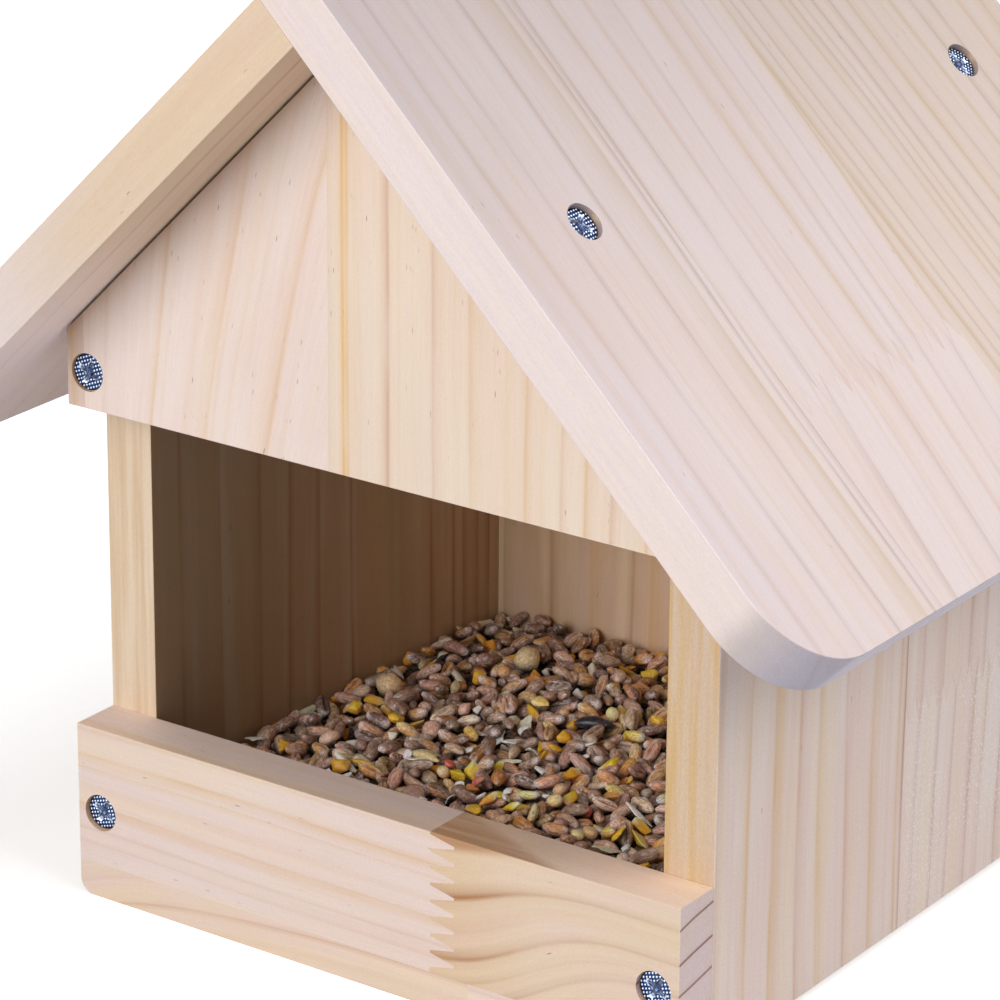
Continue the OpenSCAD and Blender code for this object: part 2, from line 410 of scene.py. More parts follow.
def screw_place(corners):
    """Where a screw's head is, which way it faces and how long the screw is."""
    middle = corners.mean(0)
    out = np.linalg.svd(corners - middle)[2][0]
    reach = (corners - middle) @ out
    spread = np.linalg.norm(corners - middle - np.outer(reach, out), axis=1)
    if reach[spread.argmax()] < 0:
        out, reach = -out, -reach
    side = np.cross(out, (0, 1, 0) if abs(out[1]) < 0.9 else (1, 0, 0))
    side /= np.linalg.norm(side)
    other = np.cross(out, side)
    centre = sum((corners @ a).min() * a / 2 + (corners @ a).max() * a / 2 for a in (side, other))
    top = (corners @ out).max()
    return Place(centre + out * top, out, top - (corners @ out).min())


SCREW_PLACES = {node: [screw_place(c) for c in solids(node)] for node in SCREW_NODES}
ALL_SCREWS = [place for places in SCREW_PLACES.values() for place in places]


def near_screw(point, reach):
    """Whether a point in millimetres is within reach of a screw's own line."""
    for place in ALL_SCREWS:
        gap = np.array(point) - place.head
        if np.linalg.norm(gap - place.out * (gap @ place.out)) < reach:
            return True
    return False


# Pine
# A line is where late wood shows across a board, in millimetres, how strong it is and how far
# it fades; a negative fade runs the other way. A stave starts at a place across the board, and
# its grain leans by so much for each millimetre from the level at which its lines are given.
# A side is how the narrow sides differ: a wood mixed in up to a place along the board, a tone
# and the share of the lines that is left. A finger joint is at a place along the board, between
# two places across it, with the stave and the lines beyond it. A stain is a wood, an axis, two
# places on it and the shares there. A painted shading is painted light and shade: an axis, two
# places on it, the tones there and the sides of the board that have it.

Line = namedtuple("Line", "at kind strength fade")
Stave = namedtuple("Stave", "start lean level tone", defaults=(0.0, 0.0, 1.0))
Side = namedtuple("Side", "kind amount tone lines high skew", defaults=(1.0, 0.45, 999.0, 0.0))
FingerJoint = namedtuple("FingerJoint", "at low high below lines")

PITCH_OF_FINGERS = 3.8
LENGTH_OF_FINGERS = 6.0
UNEVEN_FINGERS = 5.0


@dataclass(frozen=True)
class Plank:
    """How the grain of one board lies: its axes, staves, lines and tone."""

    along: tuple
    across: tuple
    face: tuple
    face_at: float
    lines: tuple
    along_from: float = 0.0
    staves: tuple = (Stave(-999.0),)
    joint: FingerJoint = None
    seed: float = 0.0

    # How the rings slope into the board, stray from straight lines and bend
    tilt: float = 0.25
    wander: float = 1.0
    bend: object = None

    # The wood between the lines, its stains, its resin and its nap
    base: str = "board"
    pink: float = 0.5
    cream: float = 0.55
    stains: tuple = ()
    face_wood: str = None
    heart: object = None
    resin: float = 0.3
    nap: float = 0.3

    # Where the lines turn pale, and where the face is left rough
    pale_from: tuple = None
    rough: tuple = None

    # Narrow sides, painted light and shade, painted shade in the corner under the roof, and the
    # end grain with the painted shade of a rounded corner before it
    edge: Side = None
    painted_shading: tuple = ()
    under_roof: bool = False
    end: str = "line"
    end_tone: float = 0.1
    end_rise: tuple = (0.55, 0.95)
    turning_shade: float = 0.0


def lip_bend(f, along, across):
    """The grain dives to the left in a long cathedral curve, more so lower down."""
    below = 39.0 - across
    ease = f.rise((along - 16.0) / (40.0 + below * 0.7), 0.0, 1.0)
    return (1.0 - ease) * below * (0.72 - below * 0.0066)


def lip_heart(f, along, across):
    """A wedge of darker wood under the top edge, from the joint to where it runs out."""
    over = across - 35.6 - f.rise(along, 18.0, 44.0, 0.0, 3.6)
    return f.rise(over, 0.0, 2.6) * 0.75


def strip_bend(f, along, _):
    """One long low curve that rises from the left end of the lower strip."""
    climb = 1.0 - f.maths("POWER", 2.718, (along + 66.0) * (-1.0 / 28.0))
    return climb * -7.8


def gable_fan(_, along, across):
    """The left stave's lines fan out to the left as they go down."""
    fan = (along - OPENING_TOP) * (0.06 + (across + 67.0) * 0.0034)
    return fan * (across * -1.0 > 9.0) * -1.0


ALONG, ACROSS = 0, 1
ON_FRONT, ON_BACK, ON_SIDES = 1, -1, 0
X, Y, Z = (1, 0, 0), (0, 1, 0), (0, 0, 1)
FRONT = (0, -1, 0)
DOWN_RIGHT, OUT_RIGHT = (COS, 0, -SIN), (SIN, 0, COS)
DOWN_LEFT, OUT_LEFT = (-COS, 0, -SIN), (-SIN, 0, COS)

ROOF_RIGHT = Plank(
    DOWN_RIGHT, Y, OUT_RIGHT, RIDGE * COS,
    (Line(-87, "dun", 0.3, 0.8), Line(-76.5, "dun", 0.42, 0.9), Line(-63.5, "dun", 0.5, -0.9),
     Line(-53.5, "olive", 0.5, -3.6), Line(-50.4, "dun", 0.62, -0.7),
     Line(-47.5, "dun", 0.6, -1.0), Line(-38.4, "dun", 0.4, -1.1), Line(-29, "rose", 0.42, 1.1),
     Line(-21, "dun", 0.32, 0.5), Line(-12, "olive", 0.38, 1.8), Line(-5.6, "dun", 0.36, -0.8),
     Line(-1, "dun", 0.24, 0.5), Line(5, "dun", 0.3, -0.5), Line(10.6, "olive", 0.6, 1.7),
     Line(14.2, "dun", 0.4, 0.5), Line(18, "dun", 0.44, -0.5), Line(23.6, "dun", 0.4, -0.7),
     Line(29.4, "olive", 0.44, 0.8), Line(32.4, "dun", 0.42, -0.6), Line(35.2, "olive", 0.5, 0.6),
     Line(38.8, "dun", 0.48, -0.8), Line(43.8, "dun", 0.5, -1.0), Line(49.6, "olive", 0.57, -1.0),
     Line(54.8, "dun", 0.34, -0.7), Line(62.6, "olive", 0.44, 0.8), Line(69, "dun", 0.44, 1.3),
     Line(75.3, "dun", 0.44, -1.0), Line(84, "rose", 0.36, 1.0), Line(92, "olive", 0.39, -1.4)),
    along_from=-RIDGE * SIN, base="roof", tilt=0.3, wander=0.9, seed=3.0, resin=0.12, pink=0.35,
    # On the eave the end colour is partly painted cool shade, and the rounded corner gets painted
    # shade where it turns towards the end
    cream=0.16, end="end_grain_and_shade", end_tone=-0.08, end_rise=(0.02, 0.92), turning_shade=0.26,
    # Painted shade: the roof's top is darker towards the ridge
    edge=Side("board", 0.6), painted_shading=((ALONG, -30.0, 130.0, 0.71, 1.0, ON_FRONT),),
    stains=(("lilac", ACROSS, -97.0, -72.0, 0.16, 0.0), ("cream", ACROSS, 5.0, 12.0, 0.0, 0.28)),
    staves=(Stave(-999, -0.012, 20, 1.0), Stave(-49.5, -0.036, 30, 1.0),
            Stave(10, 0.045, 70, 0.955)),
    joint=FingerJoint(
        119, -49.5, 10, Stave(-49.5, -0.115, 122, 1.01),
        (Line(-54, "olive", 0.33, -1.2), Line(-38.6, "dun", 0.46, -1.6),
         Line(-28, "rose", 0.2, 1.0), Line(-20.4, "dun", 0.4, -1.4),
         Line(-11.5, "rose", 0.2, 1.0), Line(-4.6, "dun", 0.32, -0.6),
         Line(5.2, "dun", 0.36, -0.5), Line(12.4, "olive", 0.33, 1.2))))

ROOF_LEFT = Plank(
    DOWN_LEFT, Y, OUT_LEFT, RIDGE * COS,
    (Line(-85.5, "rust", 0.55, 0.5), Line(-79, "line", 0.35, 2.0), Line(-68, "line", 0.45, 3.0),
     Line(-57, "rose", 0.4, -2.5), Line(-46, "line", 0.5, 2.0), Line(-37.5, "rust", 0.3, -1.5),
     Line(-27, "line", 0.4, -3.0), Line(-17, "rose", 0.35, 2.0), Line(-8.5, "olive", 0.6, 4.0),
     Line(2, "rust", 0.35, -1.2), Line(9, "line", 0.4, 2.0), Line(19, "rose", 0.4, -2.5),
     Line(30, "line", 0.5, -2.0), Line(41, "olive", 0.5, 3.5), Line(50, "rust", 0.36, -1.2),
     Line(60.5, "line", 0.4, 2.5), Line(72, "rose", 0.4, -2.0), Line(83, "line", 0.45, 2.5)),
    along_from=-RIDGE * SIN, base="tan", tilt=-0.25, wander=1.4, seed=8.0, resin=0.15, pink=0.4,
    cream=0.45, pale_from=(60.0, 110.0, 0.4), face_wood="roof",
    stains=(("orange", ALONG, 20.0, 90.0, 0.35, 0.0), ("roof", ALONG, 70.0, 130.0, 0.0, 0.9)),
    # Painted light: the underside is lighter towards the eave
    painted_shading=((ALONG, 60.0, 120.0, 1.0, 1.3, ON_BACK),),
    staves=(Stave(-999, 0.01, 60, 0.93), Stave(-12, -0.03, 60, 1.0), Stave(46, 0.02, 60, 0.975)))

GABLE = Plank(
    Z, X, FRONT, -GABLE_FACE,
    (Line(-75, "line", 0.6, 1.2), Line(-67.4, "olive", 0.36, 1.0), Line(-54, "line", 0.52, -1.2),
     Line(-40.4, "line", 0.48, -1.7), Line(-25.4, "line", 0.5, -2.0),
     Line(-8.9, "olive", 0.35, 1.4), Line(-4.9, "honey", 1.0, 0.6), Line(-3.9, "honey", 0.7, -0.5),
     Line(5.2, "rose", 0.85, -1.2), Line(16, "rose", 0.5, 1.4), Line(25.2, "line", 0.48, 2.2),
     Line(38.6, "line", 0.55, 1.2), Line(47, "rose", 0.42, 1.0), Line(52.4, "line", 0.58, 1.8),
     Line(58.6, "rose", 0.56, 1.6), Line(67, "line", 0.6, 1.4), Line(73, "rose", 0.5, 1.2)),
    tilt=0.3, wander=1.1, seed=1.0, resin=1.0, pink=0.55, cream=0.26, bend=gable_fan,
    stains=(("cream", ACROSS, -9.2, -8.8, 0.0, 0.46), ("rust", ACROSS, -72.2, -72.0, 0.2, 0.0)),
    # Painted shade in the corner under the roof
    under_roof=True,
    staves=(Stave(-999, 0, 0, 0.94), Stave(-72.1, 0, 0, 0.99), Stave(-9, 0, 0, 0.965)))

LIP_LEFT = Plank(
    X, Z, FRONT, -GABLE_FACE,
    (Line(3.4, "line", 0.3, 1.4), Line(12, "rose", 0.30, 0.5), Line(15.1, "rose", 0.36, 0.5),
     Line(20.6, "line", 0.5, -1.4), Line(29.6, "line", 0.3, -0.8), Line(32.6, "line", 0.6, -1.6),
     Line(38.4, "line", 0.3, 1.0)),
    tilt=0.45, wander=0.7, seed=4.0, resin=0.35, pink=0.5, base="pale", cream=0.4, nap=0.4,
    # Painted light: the top is lighter at its left end
    painted_shading=((ALONG, -67.0, -46.0, 1.18, 1.0, ON_SIDES),), staves=(Stave(-999, 0, 0, 0.975),))

LIP_RIGHT = Plank(
    X, Z, FRONT, -GABLE_FACE,
    (Line(12.6, "rust", 0.8, 1.2), Line(20.0, "rust", 0.95, 1.1), Line(23.4, "rust", 0.36, 0.8),
     Line(26.8, "rust", 1.0, 1.1), Line(30.4, "rose", 0.34, 1.2), Line(34.3, "rust", 1.0, 1.0)),
    tilt=0.2, wander=0.5, seed=5.0, resin=0.1, pink=0.85, bend=lip_bend, base="tan", end="lilac",
    end_tone=-0.04, cream=0.12, pale_from=(20.0, 48.0, 0.3), nap=0.4, heart=lip_heart,
    edge=Side("rust", 0.48, 1.0, 0.45, 52.0, 2.5),
    stains=(("line", ALONG, 12.0, 46.0, 0.42, 0.04),),
    # Painted light: the top is lighter at its right end, where the roof's shade ends
    painted_shading=((ALONG, 36.0, 66.0, 1.0, 1.26, ON_SIDES),), staves=(Stave(-999, 0, 0, 0.945),))

STRIP_LEFT = Plank(
    X, Z, FRONT, -GABLE_FACE,
    (Line(-8.2, "rose", 0.4, 1.2), Line(0.2, "rose", 0.66, -0.6), Line(6.2, "rose", 0.2, 2.0)),
    tilt=0.2, wander=0.6, seed=6.0, resin=0.2, pink=0.8, bend=strip_bend, base="tan", nap=0.4,
    staves=(Stave(-999, 0, 0, 0.97),))

STRIP_RIGHT = Plank(
    X, Z, FRONT, -GABLE_FACE, (Line(2.6, "rose", 0.3, 2.0), Line(6.6, "rose", 0.3, 1.0)),
    tilt=0.3, wander=0.5, seed=7.0, resin=0.1, pink=0.9, base="pale")

WALL_RIGHT = Plank(
    Z, Y, X, WALL_FACE,
    (Line(-62.4, "rose", 0.5, 1.4), Line(-51, "line", 0.7, -2.4), Line(-41.6, "line", 0.85, 3.0),
     Line(-31.6, "rose", 0.7, 2.4), Line(-23.6, "line", 0.6, 2.2), Line(-12.6, "rose", 0.7, 1.6),
     Line(-2.6, "line", 0.6, 2.0), Line(7.4, "line", 0.7, 1.2), Line(9.7, "rust", 0.74, -0.7),
     Line(17, "rose", 0.6, -2.0), Line(26, "rose", 0.6, -3.0), Line(36.6, "rust", 0.5, 1.6),
     Line(43, "rust", 0.4, -1.0), Line(50.5, "line", 0.6, 3.0), Line(58, "rust", 0.5, -2.0)),
    tilt=-0.35, wander=1.3, seed=9.0, resin=0.15, pink=0.6, nap=0.6, rough=(44.0, 66.0, 11.0),
    edge=Side("honey", 0.55, 0.82, 0.25),
    staves=(Stave(-999, 0, 0, 0.975), Stave(9.8, 0.02, 60, 0.98)),
    joint=FingerJoint(
        51, 9.8, 90, Stave(9.8, 0.045, 50, 1.0),
        (Line(17, "rust", 0.35, -1.0), Line(25, "rust", 0.35, -1.2), Line(31.5, "rust", 0.3, -1.0),
         Line(39, "rust", 0.4, -1.4), Line(44, "rust", 0.3, -1.0), Line(51.5, "rust", 0.4, 1.6),
         Line(59, "rust", 0.35, -1.2))))

WALL_LEFT = Plank(
    Z, Y, X, -BAY_SIDE,
    (Line(-53.5, "rust", 0.55, 1.0), Line(-39.5, "rust", 0.5, -1.4), Line(-26, "rust", 0.55, -2.0),
     Line(-15.6, "rust", 0.6, 1.2), Line(-4.6, "rust", 0.55, -2.6), Line(7.2, "rust", 0.8, 0.9),
     Line(14, "line", 0.5, 1.2), Line(20.6, "olive", 1.0, 7.5), Line(37, "rust", 0.7, 1.4),
     Line(46, "rust", 0.7, -1.4), Line(50, "rust", 0.6, 1.6), Line(56, "rust", 0.6, -2.0),
     Line(60.6, "rust", 0.8, -1.5)),
    tilt=0.3, wander=0.8, seed=10.0, resin=0.3, pink=0.1, base="inner",
    edge=Side("tan", 0.85, 0.95, 0.1), stains=(("rust", ACROSS, -70.0, 0.0, 0.1, 0.0),),
    # Painted shade: the inner face is darker towards the front
    painted_shading=((ACROSS, -70.0, 65.0, 0.5, 0.92, ON_FRONT),),
    staves=(Stave(-999, 0, 0, 1.0), Stave(20.5, 0, 0, 0.94)))

WALL_BACK = Plank(
    Z, X, FRONT, -BAY_BACK,
    (Line(-62.6, "olive", 1.0, 2.0), Line(-49.5, "rust", 0.6, 2.4), Line(-38.6, "line", 0.8, 2.6),
     Line(-27.8, "rust", 0.45, -1.2), Line(-23, "line", 0.9, 3.4), Line(-13, "rust", 0.5, 1.2),
     Line(-3, "line", 0.6, 2.0), Line(8, "rust", 0.5, -2.0), Line(18.5, "line", 0.7, 2.6),
     Line(30, "olive", 0.7, -3.0), Line(41, "rust", 0.5, 1.5), Line(52, "line", 0.7, -2.4),
     Line(63, "rust", 0.5, 1.6), Line(72, "line", 0.6, 2.0)),
    tilt=0.3, wander=1.2, seed=11.0, resin=0.3, pink=0.45, base="inner",
    # Painted light and shade: the inner face is darker at the left, in the left wall's shade, and
    # lighter to the right
    painted_shading=((ACROSS, -72.0, -25.0, 1.0, 1.22, ON_FRONT),),
    staves=(Stave(-999, 0, 0, 1.0), Stave(-2, 0.02, 60, 0.97), Stave(46, -0.01, 60, 1.0)))

FLOOR = Plank(
    X, Y, Z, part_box("floor_board")[1].z / MM,
    (Line(-50, "line", 0.6, 2.0), Line(-36, "rust", 0.5, -1.5), Line(-20, "line", 0.6, 2.5),
     Line(-6, "rose", 0.5, 2.0), Line(9, "line", 0.6, -2.0), Line(24, "rust", 0.5, 1.5),
     Line(40, "line", 0.6, 2.0), Line(54, "rust", 0.5, -1.5)),
    tilt=0.3, wander=1.4, seed=12.0, resin=0.3, pink=0.5)

# Painted shade in the corner under the roof: the wood is darker there, and that fades by a
# share for each millimetre

CORNER_SHADE = (0.55, 0.43, 0.31)
FADE_PER_MM = 0.717

# A line's profile is its opacity at some places beside it, sharp on one side and soft on the
# other, where the places are multiplied by the line's fade

SHARP_SIDE = ((-1.7, 0.0), (-0.5, 0.16))
SOFT_SIDE = ((0.45, 0.5), (1.7, 0.0))
LINES_PER_RAMP = 6
RAMP_MARGIN = 12.0

# How far apart the noise is read on two staves and on two boards, and how many staves further
# it is read past a finger joint

STAVE_SHIFT = 37.0
BOARD_SHIFT = 71.0
PAST_JOINT = 7.0

# How close the wood's noises repeat along, across and through a board, for each millimetre,
# and the pores and the torn fibres for each metre

DRIFT = (0.018, 0.07, 0.07)
WARMTH = (0.01, 0.16, 0.12)
FAINT_RINGS = (0.006, 0.34, 0.2)
FIBRE = (0.05, 1.5, 1.5)
HAIR = (0.35, 7.0, 7.0)
NAP = (1.6, 5.0, 5.0)
STREAKS = (0.02, 0.1, 0.5)
RESIN_CELLS = (0.24, 1.5, 1.5)
PORES = 1900.0
TORN_FIBRES = 1500.0
TORN_PATCHES = 45.0
TORN_TINT = (0.9, 0.86, 0.82)

# How squarely a surface has to face outwards or sideways, from not at all to fully

FACE_ANGLES = (0.6, 0.95)
SIDE_ANGLES = (0.7, 0.95)

# Where a point lies on a board, among its grain lines, past its joint and near its glue line

Grain = namedtuple("Grain", "at along across through shift place past glue tone")


def wood_colour(kind):
    """A colour of the wood by its name in the settings."""
    return linear(getattr(bpy.context.scene.feeder_pine, kind))


def late_wood(f, lines, place):
    """The colour and the strength of a board's grain lines at a place across it."""
    colour = None
    strength = None
    for first in range(0, len(lines), LINES_PER_RAMP):
        some = lines[first:first + LINES_PER_RAMP]
        low = some[0].at - RAMP_MARGIN
        span = some[-1].at + RAMP_MARGIN - low
        stops = []
        for line in some:
            shade = wood_colour(line.kind)
            faded = tuple((abs(line.fade) * offset, share) for offset, share in SOFT_SIDE)
            profile = SHARP_SIDE + ((0.0, 1.0),) + faded
            if line.fade < 0:
                profile = tuple((-offset, share) for offset, share in reversed(profile))
            for offset, share in profile:
                spot = (line.at + offset - low) / span
                opacity = share * line.strength
                while stops and stops[-1][0] >= spot and stops[-1][2] <= opacity:
                    stops.pop()
                if not stops or spot > stops[-1][0]:
                    stops.append((spot, shade, opacity))
        ramp = f.node("ShaderNodeValToRGB", {"stops": stops}, {0: (place - low) / span})
        opacity = Level(f, ramp.socket.node.outputs["Alpha"])
        if colour is None:
            colour, strength = ramp, opacity
        else:
            colour = f.mix(opacity > 0.004, colour, ramp)
            strength = f.highest(strength, opacity)
    return colour, strength


def by_stave(across, staves, pick):
    """A value that steps from stave to stave across a board."""
    value = pick(staves[0])
    for before, stave in zip(staves, staves[1:]):
        step = pick(stave) - pick(before)
        if step:
            value = value + (across > stave.start) * step
    return value


def finger_cut(f, plank, along, across):
    """Inside a finger-jointed stave: past the joint, and how near the glue line is."""
    joint = plank.joint
    zigzag = f.swing(across, PITCH_OF_FINGERS / 2) * (2 * LENGTH_OF_FINGERS / PITCH_OF_FINGERS)
    uneven = f.noise(f.vector(across * 0.35, 0.0, 0.0), detail=0.0) - 0.5
    gap = along - joint.at - zigzag + LENGTH_OF_FINGERS / 2 + uneven * UNEVEN_FINGERS
    if plank.along == Z:
        gap = gap * -1.0
    inside = (across > joint.low) * (1.0 - (across > joint.high))
    past = (gap > 0.0) * inside
    glue = f.rise(abs(gap), 0.1, 0.9, 1.0, 0.0) * inside
    return past, glue


def lay_grain(f, plank):
    """Finds where a point lies on a board and among its grain lines."""
    at = f.object_place()
    along = f.along(at, tuple(a / MM for a in plank.along)) - plank.along_from
    across = f.along(at, tuple(a / MM for a in plank.across))
    through = f.along(at, tuple(a / MM for a in plank.face)) - plank.face_at
    stave = by_stave(across, plank.staves, lambda s: plank.staves.index(s) * 1.0)
    lean = by_stave(across, plank.staves, lambda s: s.lean)
    rest = by_stave(across, plank.staves, lambda s: s.lean * s.level)
    tone = by_stave(across, plank.staves, lambda s: s.tone)
    past, glue = None, None
    if plank.joint:
        past, glue = finger_cut(f, plank, along, across)
        below = plank.joint.below
        stave = stave + past * PAST_JOINT
        lean = lean + past * (below.lean - lean)
        rest = rest + past * (below.lean * below.level - rest)
        tone = tone + past * (below.tone - tone)
    shift = stave * STAVE_SHIFT + plank.seed * BOARD_SHIFT
    slow = f.vector(along * 0.011 + shift, across * 0.03, through * 0.05)
    wander = (f.noise(slow, detail=1.0) - 0.5) * (plank.wander * 4.0)
    place = across + through * plank.tilt + wander - (along * lean - rest)
    if plank.bend:
        place = place + plank.bend(f, along, across)
    return Grain(at, along, across, through, shift, place, past, glue, tone)


def stretched(f, grain, across, scales, apart=0.0):
    """A place stretched along the grain, on which a noise is read."""
    start = grain.along * scales[0] + grain.shift
    if apart:
        start = start + apart
    return f.vector(start, across * scales[1], grain.through * scales[2])


def grain_noise(f, grain, scales, detail, roughness=0.5, apart=0.0):
    """Noise that follows the grain lines."""
    spot = stretched(f, grain, grain.place, scales, apart)
    return f.noise(spot, detail=detail, roughness=roughness)


def face_side(f, plank, way=ON_FRONT):
    """1 on the board's face or, the other way, on its back."""
    return f.rise(f.along(f.object_normal(), plank.face) * way, *FACE_ANGLES)


def grain_lines(f, plank, grain):
    """Colour and strength of a board's lines on both sides of its finger joint."""
    late, strength = late_wood(f, plank.lines, grain.place)
    if plank.joint:
        late_below, strength_below = late_wood(f, plank.joint.lines, grain.place)
        late = f.mix(grain.past, late, late_below)
        strength = strength + grain.past * (strength_below - strength)
    return late, strength


def early_wood(f, plank, grain):
    """The wood between the lines: its drifts, faint rings and stains."""
    drift = grain_noise(f, grain, DRIFT, 2.0)
    warm = grain_noise(f, grain, WARMTH, 2.0, apart=9.0)
    rings = grain_noise(f, grain, FAINT_RINGS, 1.5)
    base = wood_colour(plank.base)
    wood = f.mix(f.rise(drift, 0.36, 0.66) * plank.pink, base, wood_colour("pink"))
    wood = f.mix(f.rise(warm, 0.46, 0.72) * plank.cream, wood, wood_colour("cream"))
    wood = f.mix(f.rise(rings, 0.5, 0.68) * 0.16, wood, wood_colour("line"))
    for kind, axis, low, high, first, last in plank.stains:
        amount = f.rise((grain.along, grain.across)[axis], low, high, first, last)
        wood = f.mix(amount, wood, wood_colour(kind))
    if plank.face_wood:
        wood = f.mix(face_side(f, plank) * 0.85, wood, wood_colour(plank.face_wood))
    return wood


def resin_dashes(f, plank, grain):
    """Short dashes of resin, most of them in columns along the grain."""
    spot = stretched(f, grain, grain.place, RESIN_CELLS)
    dash = f.node("ShaderNodeTexVoronoi", inputs={"Vector": spot, "Scale": 1.0}, out="Distance")
    chance = Level(f, dash.socket.node.outputs["Color"])
    lane = f.vector(grain.along * 0.008 + grain.shift, grain.place * 0.3, 3.0)
    column = f.rise(f.noise(lane, detail=0.0), 0.5, 0.62)
    which = f.along(chance, X) + column * (0.3 * plank.resin)
    chosen = which > 1.0 - 0.02 * plank.resin
    return f.rise(dash, 0.05, 0.24, 1.0, 0.0) * chosen * (0.2 + f.along(chance, (0, 0.7, 0)))


def side_wood(f, plank, grain, narrow, wood, tone):
    """The wood and tone of the narrow sides."""
    edge = plank.edge
    side = narrow * f.rise(grain.along - grain.through * edge.skew, edge.high, edge.high - 9.0)
    streaks = f.noise(stretched(f, grain, grain.across, STREAKS), detail=3.0)
    streaks = f.rise(streaks, 0.3, 0.7, 0.4, 1.4)
    wood = f.mix(side * streaks * edge.amount, wood, wood_colour(edge.kind))
    return wood, tone * (1.0 - side * (1.0 - edge.tone))


def rough_patch(f, plank, grain, wood):
    """Pale torn fibres where the planing left the face rough."""
    low, high, right = plank.rough
    spot = f.rise(f.noise(grain.at, scale=TORN_FIBRES, detail=1.0), 0.57, 0.67)
    area = f.rise(grain.along, low, high, 1.0, 0.0)
    area = area * f.rise(grain.across, right - 1.0, right + 1.0)
    area = area * f.rise(f.noise(grain.at, scale=TORN_PATCHES, detail=1.0), 0.4, 0.6)
    return f.mix(spot * area * 0.75, wood, TORN_TINT)


def pine_finish(name, plank):
    """Planed pine: grain lines, fibres, resin, drifts of pink and darker end grain."""
    pine = bpy.context.scene.feeder_pine
    f = Finish(name, Specular_IOR_Level=0.32)
    grain = lay_grain(f, plank)
    tone = grain.tone
    facing = abs(f.along(f.object_normal(), plank.along))
    end = f.rise(facing, *plank.end_rise)
    narrow = f.rise(abs(f.along(f.object_normal(), plank.across)), *SIDE_ANGLES)

    # Grain lines over the early wood
    late, rings_of_end = grain_lines(f, plank, grain)
    strength = rings_of_end
    if plank.pale_from:
        low, high, least = plank.pale_from
        strength = strength * f.rise(grain.along, low, high, 1.0, least)
    if plank.edge:
        strength = strength * (1.0 - narrow * (1.0 - plank.edge.lines))
    spot = f.vector(grain.along * 0.03 + grain.shift, grain.place * 0.2, 0.0)
    patchy = f.rise(f.noise(spot), 0.3, 0.62, 0.6, 1.12)
    wood = f.mix(strength * patchy, early_wood(f, plank, grain), late)
    if plank.joint:
        wood = f.mix(grain.glue * 0.14, wood, wood_colour("dun"))
    resin = resin_dashes(f, plank, grain)
    wood = f.mix(resin, wood, wood_colour("resin"))

    # A darker heart, narrow sides, then painted light and shade: over parts of the board, in the
    # corner under the roof, deeper in the screws' holes and on rounded corners
    if plank.heart:
        heart = plank.heart(f, grain.along, grain.across) * (1.0 - narrow)
        wood = f.mix(heart, wood, wood_colour("rust"))
    if plank.edge:
        wood, tone = side_wood(f, plank, grain, narrow, wood, tone)
    # Painted light and shade: the tone is raised or lowered over parts of the board
    for axis, low, high, first, last, way in plank.painted_shading:
        faces = narrow if way == ON_SIDES else face_side(f, plank, way)
        level = f.rise((grain.along, grain.across)[axis], low, high, first, last)
        tone = tone * (1.0 + (level - 1.0) * faces)
    if plank.under_roof:
        # Painted shade under the roof, darkest at the gap and fading down the board
        gap = (UNDERSIDE - abs(grain.across) - grain.along) * COS
        wood = f.mix(f.maths("POWER", FADE_PER_MM, gap), wood, CORNER_SHADE, "MULTIPLY")
    hole = f.attribute("hole", "Fac")
    wood = f.mix(hole * 0.5, wood, wood_colour("hollow"))
    # Painted shade: the cut wood in a screw's hole darkens with depth
    tone = tone * (1.0 - hole * f.rise(grain.through, -0.2, -2.6, 0.0, 0.45))
    # Painted shade on a rounded corner, where the surface turns towards the end grain
    if plank.turning_shade:
        turning_shade = f.rise(facing, 0.0, 0.35) * f.rise(facing, 0.97, 1.0, plank.turning_shade, 0.0)
        tone = tone * (1.0 - turning_shade)

    # Fibres, the nap that planing leaves, and end grain
    fibre = grain_noise(f, grain, FIBRE, 4.0, 0.62)
    hair = grain_noise(f, grain, HAIR, 2.0)
    pores = f.noise(grain.at, scale=PORES, detail=1.0)
    nap = f.noise(stretched(f, grain, grain.across, NAP), detail=2.0, roughness=0.7)
    light = 1.0 + (fibre - 0.5) * (0.2 * pine.fibre)
    light = light * (1.0 + (hair - 0.5) * (0.16 * pine.fibre))
    light = light * (1.0 + (nap - 0.5) * (plank.nap * pine.fibre))
    light = light * tone * (1.0 - end * (plank.end_tone + (pores - 0.5) * 0.22))
    # On the roof's eaves this end colour is partly painted cool shade
    wood = f.mix(end * 0.45, wood, wood_colour(plank.end))
    wood = f.mix(end * f.rise(rings_of_end, 0.42, 0.9), wood, wood_colour("resin"))
    if plank.rough:
        wood = rough_patch(f, plank, grain, wood)

    # Fibres and nap stand up, while late wood and resin lie low and are smoother
    height = fibre * 0.5 + hair * 0.6 + nap * 0.5 - strength * 0.25 - resin * 1.2
    height = height + end * pores * 0.7
    roughness = 0.62 + (fibre - 0.5) * 0.2 - strength * 0.08
    return f.set(Base_Color=f.shade(wood, light), Roughness=roughness,
                 Normal=f.bump(height, 0.09, 0.55))


# Edges within reach of a screw's line stay sharp, as do the edges of glued surfaces

HOLE_REACH = 5.2
GLUED = 0.03
SHARP_EDGE = math.radians(30)
SMOOTH_EDGE = math.radians(32)


def glued_faces(nodes, node):
    """The surfaces of the staves that a stave is glued to."""
    trees = []
    for other in nodes:
        if other != node:
            build = bmesh.new()
            build.from_mesh(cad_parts[other].data)
            trees.append(BVHTree.FromBMesh(build))
            build.free()
    return trees


